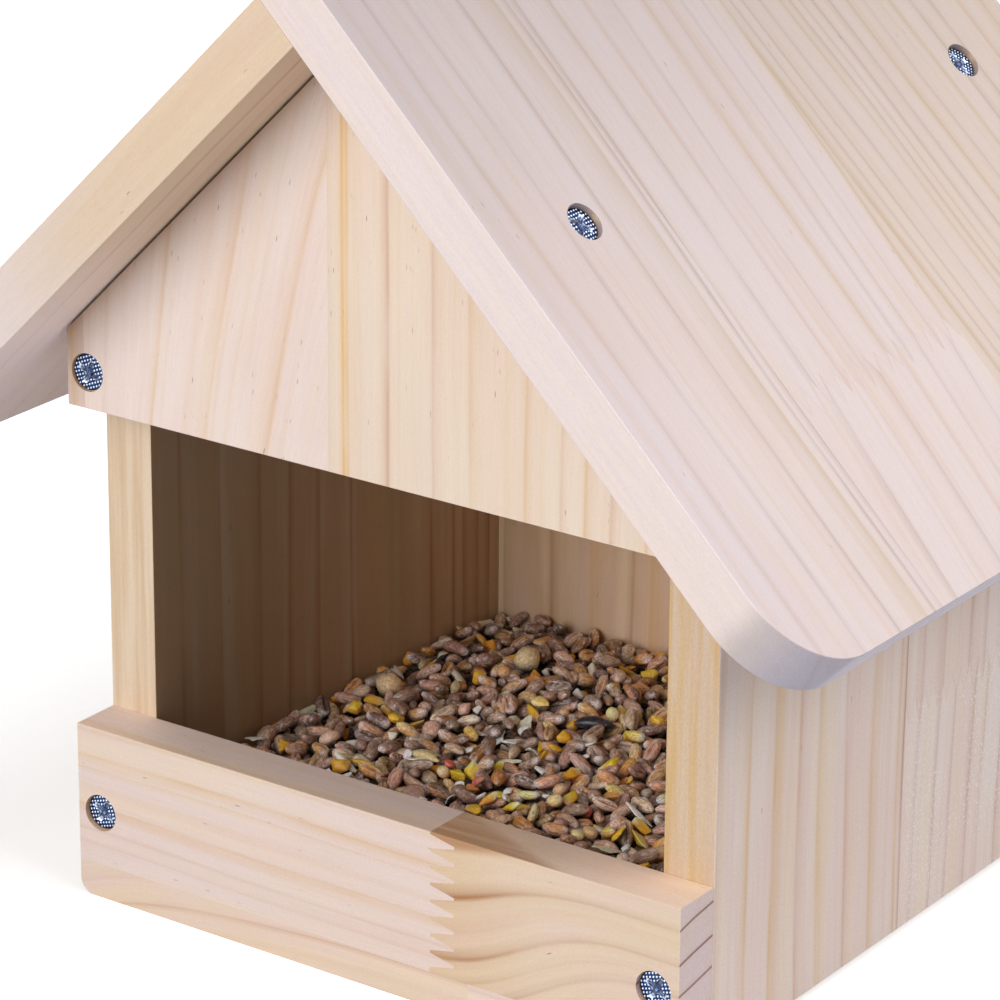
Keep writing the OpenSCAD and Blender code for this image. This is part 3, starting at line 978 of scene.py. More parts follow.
def board_mesh(node, glued, arris):
    """A board's own mesh with its outer edges sanded round."""
    build = bmesh.new()
    build.from_mesh(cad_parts[node].data)
    bmesh.ops.remove_doubles(build, verts=build.verts, dist=WELD)
    bmesh.ops.dissolve_limit(build, angle_limit=math.radians(0.5), verts=build.verts,
                             edges=build.edges)
    sharp = []
    for edge in build.edges:
        if len(edge.link_faces) != 2 or not edge.is_convex:
            continue
        middle = (edge.verts[0].co + edge.verts[1].co) / 2
        if edge.calc_face_angle(0.0) < SHARP_EDGE or near_screw(middle / MM, HOLE_REACH):
            continue
        if any(tree.find_nearest(middle)[3] < GLUED * MM for tree in glued):
            continue
        sharp.append(edge)
    bmesh.ops.bevel(build, geom=sharp, offset=arris, offset_type="OFFSET", segments=3,
                    profile=0.5, affect="EDGES", clamp_overlap=True)
    smooth_but(build, SMOOTH_EDGE)
    cut = [float(all(near_screw(corner.co / MM, HOLE_REACH) for corner in face.verts))
           for face in build.faces]
    mesh = mesh_of(node + "_sanded", build)
    mesh.attributes.new("hole", "FLOAT", "FACE").data.foreach_set("value", cut)
    return mesh


def sanded_board(node, plank, glued_to=()):
    """One board as a piece of its own, with its own grain."""
    pine = bpy.context.scene.feeder_pine
    mesh = board_mesh(node, glued_faces(glued_to, node), pine.arris)
    piece = as_piece("sanded_" + node, mesh, pine_finish("pine_of_" + node, plank), [node])
    flat = piece.modifiers.new("Flat faces stay flat", "WEIGHTED_NORMAL")
    flat.keep_sharp = True


# Screws, in millimetres

HEAD_RADIUS = 3.95
HEAD_CROWN = 0.1
HEAD_RIM = 0.5
HEAD_SIDES = 120
HEAD_RINGS = 28
FIRST_RING = 0.14
PLAIN_RIM = 0.28
SHANK_RADIUS = 2.0
SHANK_SIDES = 16
SHANK_START = 1.6
CORE_RADIUS = 1.35
NECK_RADIUS = CORE_RADIUS + 0.2
NECK_SHARE = 0.32
THREAD_RADIUS = SHANK_RADIUS - 0.05
THREAD_PITCH = 1.8
RINGS_PER_TURN = 6
POINT_LENGTH = 5.0
CROSS_WIDTH = 0.62
CROSS_WALL = 0.22
CROSS_DEPTH = 1.1
ARM_DEPTH = 0.7
PIT_RADIUS = 1.3
PIT_WALL = 0.7


def head_height(x, y, radius, settings):
    """Height of the head's face over its highest level, and its painted shade and highlight."""
    pitch = settings.waffle / MM
    relief = settings.relief / MM
    reach = settings.recess / MM
    dots = 0.5 + 0.5 * np.cos(2 * math.pi * x / pitch)
    dots = dots * (0.5 + 0.5 * np.cos(2 * math.pi * y / pitch))
    rim = np.clip((radius - HEAD_RADIUS + PLAIN_RIM) / 0.2, 0, 1)
    hollow = np.maximum(1 - dots ** 0.75, rim)

    # The cross recess lies askew to the dots, its arms shallower than the pit in its middle
    turn = math.radians(45)
    u = x * math.cos(turn) + y * math.sin(turn)
    v = y * math.cos(turn) - x * math.sin(turn)
    depth = np.zeros_like(x)
    for length, width in ((abs(u), abs(v)), (abs(v), abs(u))):
        wall = np.clip((CROSS_WIDTH - width) / CROSS_WALL, 0, 1)
        arm = wall * np.clip((reach - length) / (reach * 0.35), 0, 1) * ARM_DEPTH
        depth = np.maximum(depth, arm)
    depth = np.maximum(depth, np.clip((PIT_RADIUS - radius) / PIT_WALL, 0, 1))
    height = -HEAD_CROWN * (radius / HEAD_RADIUS) ** 2
    height = height - relief * hollow * (1 - depth) - CROSS_DEPTH * depth

    # Painted shade: dark in the hollows between the dots, at the rim and in the recess, with a
    # painted highlight at the recess's edge
    edge = np.exp(-((depth - 0.16) / 0.14) ** 2) * (depth > 0.02)
    painted_shade = np.where(depth > 0.05, 0.5 + 0.2 * depth, hollow)
    return height, np.clip(painted_shade - edge * 0.34, 0, 1)


def ring_at(radius, z, angle):
    """A ring of corners round a screw's own line."""
    x, y = radius * np.cos(angle), radius * np.sin(angle)
    return np.stack(np.broadcast_arrays(x, y, z), 1)


def ring_faces(first, second, count):
    """Quads between two rings of the same count of corners."""
    return [(first + i, first + (i + 1) % count, second + (i + 1) % count, second + i)
            for i in range(count)]


def stack_faces(rings, start):
    """Faces over a stack of rings from the top one down, closed at both ends."""
    sides = len(rings[0])
    last = start + (len(rings) - 1) * sides
    faces = []
    for ring in range(start, last, sides):
        faces += ring_faces(ring + sides, ring, sides)
    faces.append(tuple(range(start, start + sides)))
    faces.append(tuple(reversed(range(last, last + sides))))
    return faces


def screw_head(settings):
    """The rings of a countersunk head, and each corner's painted shade."""
    angle = np.arange(HEAD_SIDES) * 2 * math.pi / HEAD_SIDES
    rings, hollow = [], []
    for radius in np.linspace(FIRST_RING, HEAD_RADIUS, HEAD_RINGS):
        x, y = radius * np.cos(angle), radius * np.sin(angle)
        z, deep = head_height(x, y, np.full(HEAD_SIDES, radius), settings)
        rings.append(ring_at(radius, z, angle))
        hollow.append(deep)
    cone_end = -HEAD_RIM - HEAD_RADIUS + SHANK_RADIUS
    for radius, z in ((HEAD_RADIUS, -HEAD_RIM), (SHANK_RADIUS, cone_end)):
        rings.append(ring_at(radius, z, angle))
        hollow.append(np.full(HEAD_SIDES, 0.5))
    return rings, hollow


def screw_shank(length):
    """The rings of a threaded shank, a spindle that starts inside the head's cone."""
    angle = np.arange(SHANK_SIDES) * 2 * math.pi / SHANK_SIDES
    rings = []
    for z in np.arange(-HEAD_RIM - SHANK_START, -length, -THREAD_PITCH / RINGS_PER_TURN):
        wave = abs(((z / THREAD_PITCH + angle / (2 * math.pi)) % 1.0) * 2 - 1)
        thread = CORE_RADIUS + (THREAD_RADIUS - CORE_RADIUS) * wave ** 2
        if z > -length * NECK_SHARE:
            thread = np.full(SHANK_SIDES, NECK_RADIUS)
        rings.append(ring_at(thread * min(1.0, (z + length) / POINT_LENGTH + 0.05), z, angle))
    return rings


def screw_shape(length, settings):
    """A whole screw, its head's face at z = 0, as corners, faces and painted shade."""
    head, hollow = screw_head(settings)
    shank = screw_shank(length)
    faces = stack_faces(head, 0) + stack_faces(shank, len(head) * HEAD_SIDES)
    hollow.append(np.full(len(shank) * SHANK_SIDES, 0.4))
    return np.concatenate(head + shank), faces, np.concatenate(hollow)


def zinc_finish():
    """Bright zinc plate, with painted shade of darker blue in its hollows and recess."""
    settings = bpy.context.scene.feeder_screws
    f = Finish("blue_zinc", Metallic=1.0)
    hollow = f.attribute("hollow", "Fac")
    stain = f.noise(f.object_place(), scale=900.0, detail=3.0)
    # Painted shade: the plate turns to the shadow blue where the head is marked hollow
    colour = f.mix(f.rise(hollow, 0.1, 0.8), linear(settings.plate), linear(settings.shadow))
    colour = f.shade(colour, 0.8 + stain * 0.4)
    return f.set(Base_Color=colour, Roughness=0.22 + stain * 0.18)


def screw_group(node, finish, rng):
    """All the screws of one node, each turned its own way."""
    settings = bpy.context.scene.feeder_screws
    corners, faces, hollow, start = [], [], [], 0
    for place in SCREW_PLACES[node]:
        shape, shape_faces, shape_hollow = screw_shape(place.length, settings)
        turn = rng.uniform(0, math.pi / 2)
        up = Vector(place.out)
        frame_of_screw = up.to_track_quat("Z", "Y").to_matrix() @ Matrix.Rotation(turn, 3, "Z")
        corners.append(shape @ np.array(frame_of_screw).T + place.head)
        faces += [tuple(c + start for c in face) for face in shape_faces]
        hollow.append(shape_hollow)
        start += len(shape)
    mesh = bpy.data.meshes.new("driven_" + node)
    mesh.from_pydata(np.concatenate(corners) * MM, [], faces)
    # Each corner's painted shade, kept under the name hollow
    depth = mesh.attributes.new("hollow", "FLOAT", "POINT")
    depth.data.foreach_set("value", np.concatenate(hollow))
    mesh.shade_smooth()
    as_piece("driven_" + node, mesh, finish, [node])


# Seed shapes
# A shape is its corners in millimetres, its faces, and for each corner how far it is towards
# the pale tone of its kind, or below 0 towards the painted shade of a crease.

Shape = namedtuple("Shape", "corners faces pale")
CREASED = tuple(math.radians(a) for a in (-90, -72, -48, -18, 18, 54, 90, 126, 162, 198, 228, 252))
EVEN = tuple(math.radians(a) for a in range(-90, 270, 30))


def spindle(length, width, depth, rings, angles, fullness, rng, tip, groove=0.0, ridges=0.0,
            lump=0.03):
    """A seed turned about its length, with an optional crease below or ridges all round."""
    corners, pale = [(-length / 2, 0, 0)], [tip]
    folds = rng.uniform(0, 2 * math.pi, 3)
    for ring in range(1, rings):
        x = -math.cos(math.pi * (ring / rings))
        girth = (1 - abs(x) ** (fullness + x * 0.9)) ** 0.53 * (1 - 0.05 * x)
        brush = max(0.0, x - 0.6) / 0.4 + max(0.0, -x - 0.85)
        for angle in angles:
            down = (angle + math.pi / 2 + math.pi) % (2 * math.pi) - math.pi
            crease = 1 - groove * math.exp(-(down / 0.26) ** 2) * (1 - x ** 4)
            fold = sum(math.cos(k * angle + turn) for k, turn in zip((2, 3, 5), folds)) / 3
            wave = 1 + ridges * math.cos(7 * angle) + lump * fold + rng.uniform(-lump, lump) * 0.7
            reach = girth * crease * wave
            sag = 0.05 * length * x * x
            corners.append((x * length / 2, width / 2 * reach * math.cos(angle),
                            depth / 2 * reach * math.sin(angle) - sag))
            lightness = tip * brush
            if groove:
                # Painted shade in the crease
                lightness = min(1.0, lightness) - 0.9 * (1 - crease) / groove * (1 - x ** 4)
            pale.append(lightness)
    corners.append((length / 2, 0, 0))
    pale.append(tip)
    count = len(angles)
    last, end = 1 + (rings - 2) * count, len(corners) - 1
    faces = [(0, 1 + (i + 1) % count, 1 + i) for i in range(count)]
    for first in range(1, last, count):
        faces += ring_faces(first, first + count, count)
    faces += [(last + i, last + (i + 1) % count, end) for i in range(count)]
    return Shape(np.array(corners), faces, np.array(pale))


def crumb(length, width, depth, points, rng):
    """An angular broken piece: the hull of a few scattered points."""
    build = bmesh.new()
    for _ in range(points):
        way = Vector(rng.normal(size=3)).normalized()
        build.verts.new((way.x * length / 2, way.y * width / 2, way.z * depth / 2))
    result = bmesh.ops.convex_hull(build, input=build.verts)
    stray = [v for v in result["geom_interior"] if isinstance(v, bmesh.types.BMVert)]
    bmesh.ops.delete(build, geom=stray, context="VERTS")
    loose = [v for v in build.verts if not v.link_faces]
    bmesh.ops.delete(build, geom=loose, context="VERTS")
    bmesh.ops.bevel(build, geom=list(build.edges), offset=0.07 * min(length, width), segments=1,
                    profile=0.5, affect="EDGES", clamp_overlap=True)
    build.verts.index_update()
    corners = np.array([v.co for v in build.verts])
    faces = [tuple(v.index for v in face.verts) for face in build.faces]
    build.free()
    pale = np.clip(corners[:, 0] / length * 1.8 - 0.3 + rng.uniform(-0.25, 0.25), 0, 1)
    return Shape(corners, faces, pale)


def flake(length, width, curl, thick, rng):
    """A thin curled husk or flake, closed all round."""
    count = 12
    angle = np.arange(count) * 2 * math.pi / count
    ragged = 1 + rng.uniform(-0.22, 0.16, count)
    top = [(0.0, 0.0, curl)]
    for reach in (0.55, 1.0):
        x = length / 2 * np.cos(angle) * reach * ragged
        y = width / 2 * np.sin(angle) * reach * ragged
        z = curl * (1 - (2 * y / width) ** 2) - 0.25 * curl * (2 * x / length) ** 2
        top += list(zip(x, y, z))
    size = len(top)
    corners = np.concatenate((top, np.array(top) - (0, 0, thick)))
    middle = [(0, 1 + i, 1 + (i + 1) % count) for i in range(count)]
    ring = ring_faces(1 + count, 1, count)
    faces = [face[::-1] for face in ring] + middle
    faces += [tuple(size + corner for corner in face) for face in ring]
    faces += [tuple(size + corner for corner in reversed(face)) for face in middle]
    outer = range(1 + count, size)
    for here, after in zip(outer, (*outer[1:], outer[0])):
        faces.append((after, here, size + here, size + after))
    pale = np.clip(rng.uniform(0.2, 0.8) + corners[:, 0] / length, 0, 1)
    return Shape(corners, faces, pale)


# A skin has streaks along and across the seed, wrinkles of a depth, a share of pale bloom, which
# is dust and painted sheen, a roughness and a contrast. A kind has its shapes, its tones and their
# shares, the colour of its pale parts, its share of the mix, its rough size, its skin, the spread
# of its lightness and the colour to which some of it is flushed.

Skin = namedtuple("Skin", "stretch fine wrinkle bloom roughness contrast")
SKINS = {
    "wheat_skin": Skin(0.4, 3.4, 0.4, 0.7, 0.33, 1.6),
    "corn_flesh": Skin(0.8, 2.0, 0.14, 0.15, 0.36, 0.6),
    "husk_skin": Skin(0.12, 2.0, 0.2, 0.2, 0.6, 0.8),
    "dusty_skin": Skin(0.8, 1.6, 0.2, 0.5, 0.42, 0.9),
    "smooth_skin": Skin(0.5, 2.0, 0.08, 0.2, 0.34, 0.5),
}
Kind = namedtuple("Kind", "shapes tones pale share size skin spread flush",
                  defaults=((0.6, 1.5), None))
SHARP_KINDS = ("corn", "meal", "husk")


def seed_kinds(rng):
    """Every kind of seed, with sizes in millimetres."""
    s = bpy.context.scene.feeder_seed
    wheat = s.wheat_length / MM
    pea = s.pea / MM
    return {
        "wheat": Kind(
            [spindle(wheat * long, wheat * wide, wheat * deep, 9, CREASED, 2.6, rng,
                     groove=0.45, tip=0.9, lump=0.06)
             for long, wide, deep in (
                 (1.0, 0.50, 0.46), (1.06, 0.46, 0.42), (0.94, 0.54, 0.48), (1.1, 0.42, 0.37),
                 (1.0, 0.49, 0.42), (0.9, 0.57, 0.5), (0.98, 0.47, 0.36), (1.04, 0.51, 0.40))],
            tones=((s.mauve, 0.44), (s.grey, 0.30), (s.tan, 0.16), (s.orange, 0.10)),
            pale=s.bloom, share=0.70, size=(wheat, wheat * 0.5, wheat * 0.43),
            skin="wheat_skin", spread=(0.45, 1.6), flush=s.orange),
        "corn": Kind(
            [crumb(5.6, 4.2, 3.0, 11, rng) for _ in range(5)]
            + [crumb(6.4, 3.6, 2.4, 10, rng) for _ in range(3)],
            tones=((s.corn, 0.8), (s.orange, 0.2)), pale=s.cream, share=0.10,
            size=(5.4, 3.9, 2.6), skin="corn_flesh", spread=(0.85, 1.4)),
        "husk": Kind(
            [flake(7.4, 2.6, 0.9, 0.22, rng) for _ in range(3)]
            + [flake(5.0, 3.2, 0.7, 0.25, rng) for _ in range(3)],
            tones=((s.straw, 0.25), (s.cream, 0.75)), pale=s.cream, share=0.045,
            size=(6.4, 2.6, 1.2), skin="husk_skin", spread=(1.0, 1.5)),
        "oat": Kind(
            [spindle(8.4, 2.4, 1.9, 9, EVEN, 1.7, rng, ridges=0.07, tip=0.5) for _ in range(3)],
            tones=((s.straw, 0.5), (s.grey, 0.5)), pale=s.cream, share=0.018,
            size=(8.2, 2.4, 1.9), skin="husk_skin", spread=(0.7, 1.2)),
        "meal": Kind(
            [crumb(3.6, 2.8, 1.5, 9, rng) for _ in range(6)],
            tones=((s.cream, 0.6), (s.bloom, 0.2), (s.corn, 0.2)), pale=s.cream, share=0.13,
            size=(3.4, 2.6, 1.4), skin="corn_flesh", spread=(0.9, 1.4)),
        "millet": Kind(
            [spindle(3.4, 3.0, 2.7, 7, EVEN, 2.0, rng, tip=0.3, lump=0.02) for _ in range(3)],
            tones=((s.mauve, 0.4), (s.tan, 0.35), (s.grey, 0.25)), pale=s.bloom, share=0.07,
            size=(3.4, 3.0, 2.7), skin="dusty_skin"),
        "vetch": Kind(
            [spindle(5.6, 4.8, 2.7, 8, EVEN, 2.1, rng, tip=0.1, lump=0.02) for _ in range(2)],
            tones=((s.grey, 0.4), (s.mauve, 0.6)), pale=s.bloom, share=0.012,
            size=(5.6, 4.8, 2.7), skin="dusty_skin"),
        "sunflower": Kind(
            [spindle(9.6, 4.8, 3.2, 10, EVEN, 1.6, rng, ridges=0.02, tip=0.1)],
            tones=((s.black, 1.0),), pale=s.grey, share=0.0, size=(9.4, 4.6, 3.1),
            skin="smooth_skin"),
        "dyed": Kind(
            [crumb(4.2, 3.2, 2.6, 12, rng)],
            tones=((s.red, 1.0),), pale=s.cream, share=0.003, size=(4.0, 3.0, 2.4),
            skin="corn_flesh"),
        "pea": Kind(
            [spindle(pea, pea * 0.96, pea * 0.93, 12, EVEN, 1.6, rng, tip=0.0) for _ in range(2)],
            tones=((s.straw, 1.0),), pale=s.cream, share=0.0,
            size=(pea, pea * 0.96, pea * 0.93), skin="dusty_skin", spread=(0.9, 1.0)),
    }


# Seed laid in the bay, in millimetres
# Chosen seeds are given by their kind, their place across and along the bay, and their yaw.

CHOSEN = (("pea", -53.1, 4.3, 20), ("pea", -36.0, 34.2, 70), ("pea", 30.0, 38.0, 10),
          ("sunflower", -1.8, 10.8, 25), ("sunflower", -37.1, 57.5, -30), ("corn", -55.0, -7.0, 60),
          ("corn", -18.1, 13.2, 10), ("corn", -16.5, 8.5, -20), ("corn", -1.0, -9.4, -60),
          ("corn", 37.0, -29.7, -15), ("vetch", -13.3, -40.4, 15), ("meal", -43.2, 28.9, 0),
          ("corn", -11.5, -27.0, 115), ("husk", -6.5, -36.5, -50), ("husk", 11.0, -12.5, -35),
          ("dyed", -15.4, -24.5, 20))
CHOSEN_SINK = 1.1
COMMON_SINK = 0.25
SIZE_RANGE = (0.84, 1.14)
MOST_IN_A_PIECE = 800

# Each seed tries some places, picked as the emptiest of several times as many, and the chosen
# ones are laid at the latest when this share of the grains has been tried

TRIES = 6
SPOTS_PER_TRY = 5
LATEST_CHOSEN = 0.6

# The grid's cells, and the room that it has to the sides and to the lip and the back wall

CELL = 0.5
SIDE_PLAY = 0.15
END_PLAY = 0.25

# How far out along its length and width a seed feels the slope, as a share of them, the
# steepest slope on which it rests, and the furthest that it may stand over the surface

FEELER = 0.33
STEEPEST = 0.6
PROUDEST = 1.2

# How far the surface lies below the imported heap, from the lip to the back wall; the deepest
# gaps that are left when the chosen seeds are laid and when the bay is full; and how deep
# under others a seed still shows

SETTLED = (0.6, 2.3)
HALF_FULL = 4.0
FULL = 1.7
SEEN_DEPTH = 2.6

# Light on the seed, which grows less with each millimetre under the surface, and from where
# the shade of the left wall and of the back wall begins over a distance to its end

SURFACE_LIGHT = 1.3
LOST_PER_MM = 0.4
LEAST_LIGHT = 0.13
MOST_LIGHT = 1.6
LOST_BY_WALLS = 0.2
LEFT_SHADE = (10, 60)
BACK_SHADE = (12, 45)

Laid = namedtuple("Laid", "name scale spot yaw pitch bank")
Rest = namedtuple("Rest", "x y pitch bank cells cover")


class Bay:
    """The seed bay as a grid of heights, on which seeds are laid one by one."""

    def __init__(self, depth, rng):
        self.rng = rng
        self.low = np.array((-SEED_SIDE - SIDE_PLAY, BAY_FRONT + END_PLAY))
        self.high = np.array((SEED_SIDE + SIDE_PLAY, BAY_BACK - END_PLAY))
        self.shape = np.ceil((self.high - self.low) / CELL).astype(int)
        self.top = self.heap_top() - np.linspace(*SETTLED, self.shape[1])
        self.height = self.top - depth
        self.laid = []
        self.owner = np.full(self.shape, -1)

    def heap_top(self):
        """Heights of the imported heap's own surface."""
        build = bmesh.new()
        build.from_mesh(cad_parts["seed_fill"].data)
        tree = BVHTree.FromBMesh(build)
        build.free()
        low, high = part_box("seed_fill")
        inset = 0.1 * MM
        top = np.zeros(self.shape)
        for i, j in np.ndindex(*self.shape):
            x, y = (self.low + (np.array((i, j)) + 0.5) * CELL) * MM
            x = min(max(x, low.x + inset), high.x - inset)
            y = min(max(y, low.y + inset), high.y - inset)
            top[i, j] = tree.ray_cast(Vector((x, y, 1.0)), Vector((0, 0, -1)))[0].z / MM
        return top

    def at(self, grid, x, y):
        """What a grid says at a place."""
        i, j = ((np.array((x, y)) - self.low) / CELL).astype(int)
        return grid[min(max(i, 0), self.shape[0] - 1), min(max(j, 0), self.shape[1] - 1)]

    def fit(self, kind, x, y, yaw, scale):
        """How a seed would rest at a place: its height, its slopes and the cells it covers."""
        length, width, depth = (size * scale for size in kind.size)
        ca, sa = math.cos(yaw), math.sin(yaw)
        reach = (abs(ca) * length + abs(sa) * width) / 2, (abs(sa) * length + abs(ca) * width) / 2
        x = min(max(x, self.low[0] + reach[0]), self.high[0] - reach[0])
        y = min(max(y, self.low[1] + reach[1]), self.high[1] - reach[1])

        # The slopes of what lies below, felt before, behind and beside the middle
        ahead = self.at(self.height, x + ca * length * FEELER, y + sa * length * FEELER)
        astern = self.at(self.height, x - ca * length * FEELER, y - sa * length * FEELER)
        left = self.at(self.height, x - sa * width * FEELER, y + ca * width * FEELER)
        right = self.at(self.height, x + sa * width * FEELER, y - ca * width * FEELER)
        pitch = max(-STEEPEST, min(STEEPEST, (ahead - astern) / (2 * FEELER * length)))
        bank = max(-STEEPEST, min(STEEPEST, (left - right) / (2 * FEELER * width)))

        # The cells under the seed, and the height at which it touches the highest of them
        i0, j0 = np.maximum(((np.array((x, y)) - self.low - reach) / CELL).astype(int), 0)
        i1 = min(int((x - self.low[0] + reach[0]) / CELL) + 1, self.shape[0])
        j1 = min(int((y - self.low[1] + reach[1]) / CELL) + 1, self.shape[1])
        cells = slice(i0, i1), slice(j0, j1)
        gx = self.low[0] + (np.arange(i0, i1) + 0.5) * CELL - x
        gy = self.low[1] + (np.arange(j0, j1) + 0.5) * CELL - y
        dx, dy = np.meshgrid(gx, gy, indexing="ij")
        u, v = dx * ca + dy * sa, dy * ca - dx * sa
        inside = 1 - (2 * u / length) ** 2 - (2 * v / width) ** 2
        shell = depth / 2 * np.sqrt(np.clip(inside, 0, None))
        slant = u * pitch + v * bank
        z = np.where(inside > 0, self.height[cells] + shell - slant, -np.inf).max()
        cover = np.where(inside > 0, z + shell + slant, -np.inf)
        return z, Rest(x, y, pitch, bank, cells, cover)

    def lay(self, name, kind, choices, sink):
        """Lays a seed at the lowest of some places and yaws, unless it would stand proud."""
        scale = self.rng.uniform(*SIZE_RANGE)
        best = None
        for x, y, yaw in choices:
            z, rest = self.fit(kind, x, y, yaw, scale)
            score = z - self.at(self.top, rest.x, rest.y)
            if best is None or score < best[0]:
                best = score, z, yaw, rest
        score, z, yaw, rest = best
        if score > PROUDEST and len(choices) > 1:
            return
        patch = self.height[rest.cells]
        higher = rest.cover - sink > patch
        self.owner[rest.cells][higher] = len(self.laid)
        patch[higher] = (rest.cover - sink)[higher]
        spot = rest.x, rest.y, z - sink
        self.laid.append(Laid(name, scale, spot, yaw, rest.pitch, rest.bank))

    def gaps(self):
        """Some places in the bay, those that still lack seed first."""
        spots = self.rng.random((TRIES * SPOTS_PER_TRY, 2))
        spots = self.low + spots * (self.high - self.low)
        need = [self.at(self.top, *spot) - self.at(self.height, *spot) for spot in spots]
        order = np.argsort(need)[::-1][:TRIES]
        return [(*spots[i], self.rng.uniform(0, math.pi)) for i in order], need[order[0]]

    def sunk(self, spots):
        """How far some places lie under the heap's surface, taken over the seeds around each."""
        reach = 4
        padded = np.pad(self.height, reach, mode="edge")
        around = np.lib.stride_tricks.sliding_window_view(padded, (2 * reach + 1, 2 * reach + 1))
        cells = ((spots[:, :2] - self.low) / CELL).astype(int)
        cells = np.clip(cells, 0, np.array(self.shape) - 1)
        return around.mean((2, 3))[cells[:, 0], cells[:, 1]] - spots[:, 2]

    def lit(self, spots):
        """The share of light that the left wall and the back wall leave to some places."""
        left = np.clip((LEFT_SHADE[0] - spots[:, 0]) / LEFT_SHADE[1], 0, 1)
        back = np.clip((spots[:, 1] - BACK_SHADE[0]) / BACK_SHADE[1], 0, 1)
        return (1 - LOST_BY_WALLS * left) * (1 - LOST_BY_WALLS * back)

    def showing(self):
        """The numbers of the seeds that can be seen from above or lie just below one."""
        seen = set(np.unique(self.owner)) - {-1}
        for number, seed in enumerate(self.laid):
            x, y, z = seed.spot
            if self.at(self.height, x, y) - z < SEEN_DEPTH:
                seen.add(number)
        return sorted(seen)


def lay_seeds(kinds, settings, rng):
    """Fills the bay: a first layer, the chosen seeds, sunk a little, and then the rest."""
    bay = Bay(settings.depth / MM, rng)
    names = [name for name, kind in kinds.items() if kind.share]
    shares = np.array([kinds[name].share for name in names])
    shares = shares / shares.sum()
    waiting = list(CHOSEN)
    for number in range(settings.grains):
        spots, need = bay.gaps()
        if waiting and (need < HALF_FULL or number > settings.grains * LATEST_CHOSEN):
            for name, x, y, yaw in waiting:
                bay.lay(name, kinds[name], [(x, y, math.radians(yaw))], CHOSEN_SINK)
            waiting = []
        if need < FULL:
            break
        name = names[rng.choice(len(names), p=shares)]
        bay.lay(name, kinds[name], spots, COMMON_SINK)
    return bay


# How far seeds are rolled off their backs, and how flat a kind is that always lies flat

ROLL = 0.35
FLAT_ROLL = 0.12
FLAT = 0.8


def seed_turn(yaw, pitch, bank, roll):
    """The turn of a seed that heads along yaw on a slope."""
    ahead = Vector((math.cos(yaw), math.sin(yaw), pitch)).normalized()
    side = Vector((-math.sin(yaw), math.cos(yaw), bank))
    side = (side - ahead * side.dot(ahead)).normalized()
    up = ahead.cross(side)
    base = Matrix((ahead, side, up)).transposed()
    return np.array(base @ Matrix.Rotation(roll, 3, "X"))


def laid_turn(kind, seed, rng):
    """How a laid seed is turned: flat ones lie flat, and one in four is turned end for end."""
    roll = rng.choice((0.0, math.pi)) + rng.normal() * ROLL
    if kind.size[2] < kind.size[1] * FLAT:
        roll = rng.normal() * FLAT_ROLL
    other_way = rng.random() < 0.5
    same_way = rng.random() < 0.5
    yaw = seed.yaw + math.pi if other_way and not same_way else seed.yaw
    return seed_turn(yaw, seed.pitch, seed.bank, roll)


def seed_tones(kind, shape, rng):
    """A seed's tone at each corner: its own, flushed on a side, pale at tips, painted shade in a
    crease.
    """
    shares = np.array([share for _, share in kind.tones])
    tone = np.array(linear(kind.tones[rng.choice(len(shares), p=shares / shares.sum())][0]))
    tone = tone * rng.uniform(*kind.spread) * (1 + rng.normal(size=3) * 0.04)
    if kind.flush:
        way = rng.normal(size=3) * (0.5, 1, 1)
        side = 0.1 + shape.corners / kind.size * 2 @ way / np.linalg.norm(way)
        side = np.clip(side * 1.2, 0, 1)[:, None] * rng.choice((0.0, 0.6))
        tone = tone * (1 - side) + np.array(linear(kind.flush)) * rng.uniform(0.6, 1.1) * side
    blend = np.clip(shape.pale, 0, 1)[:, None]
    dark = 1 - 0.75 * np.clip(-shape.pale, 0, 1)[:, None]
    tone = tone * (1 - blend) + np.array(linear(kind.pale)) * blend
    return np.clip(tone * dark, 0, 1)


def light_on(bay, spots):
    """The light that reaches some places: less far down and near the left and back walls."""
    light = np.clip(SURFACE_LIGHT - LOST_PER_MM * bay.sunk(spots), LEAST_LIGHT, MOST_LIGHT)
    return light * bay.lit(spots)


def seed_group(name, kind, laid, finish, bay, rng):
    """Seeds of one kind as one piece, each with its own tone, with painted light and shade."""
    corners, faces, tones, skin, start = [], [], [], [], 0
    for seed in laid:
        shape = kind.shapes[rng.integers(len(kind.shapes))]
        turn = laid_turn(kind, seed, rng)
        corners.append(shape.corners * seed.scale @ turn.T + seed.spot)
        faces += [tuple(c + start for c in face) for face in shape.faces]
        tones.append(seed_tones(kind, shape, rng))
        skin.append(shape.corners + rng.uniform(0, 400, 3))
        start += len(shape.corners)
    corners = np.concatenate(corners)
    # Painted light and shade: each corner's tone darkens with its depth under the heap and near the
    # left and back walls
    tones = np.clip(np.concatenate(tones) * light_on(bay, corners)[:, None], 0, 1)
    mesh = bpy.data.meshes.new(name + "_seeds")
    mesh.from_pydata(corners * MM, [], faces)
    colours = mesh.attributes.new("tone", "FLOAT_COLOR", "POINT").data
    colours.foreach_set("color", np.column_stack((tones, np.ones(len(tones)))).ravel())
    places = mesh.attributes.new("skin", "FLOAT_VECTOR", "POINT").data
    places.foreach_set("vector", np.concatenate(skin).ravel())
    mesh.shade_smooth()
    build = bmesh.new()
    build.from_mesh(mesh)
    bmesh.ops.recalc_face_normals(build, faces=build.faces)
    smooth_but(build, math.radians(38 if laid[0].name in SHARP_KINDS else 75))
    build.to_mesh(mesh)
    build.free()
    as_piece(name + "_seeds", mesh, finish, ["seed_fill"])


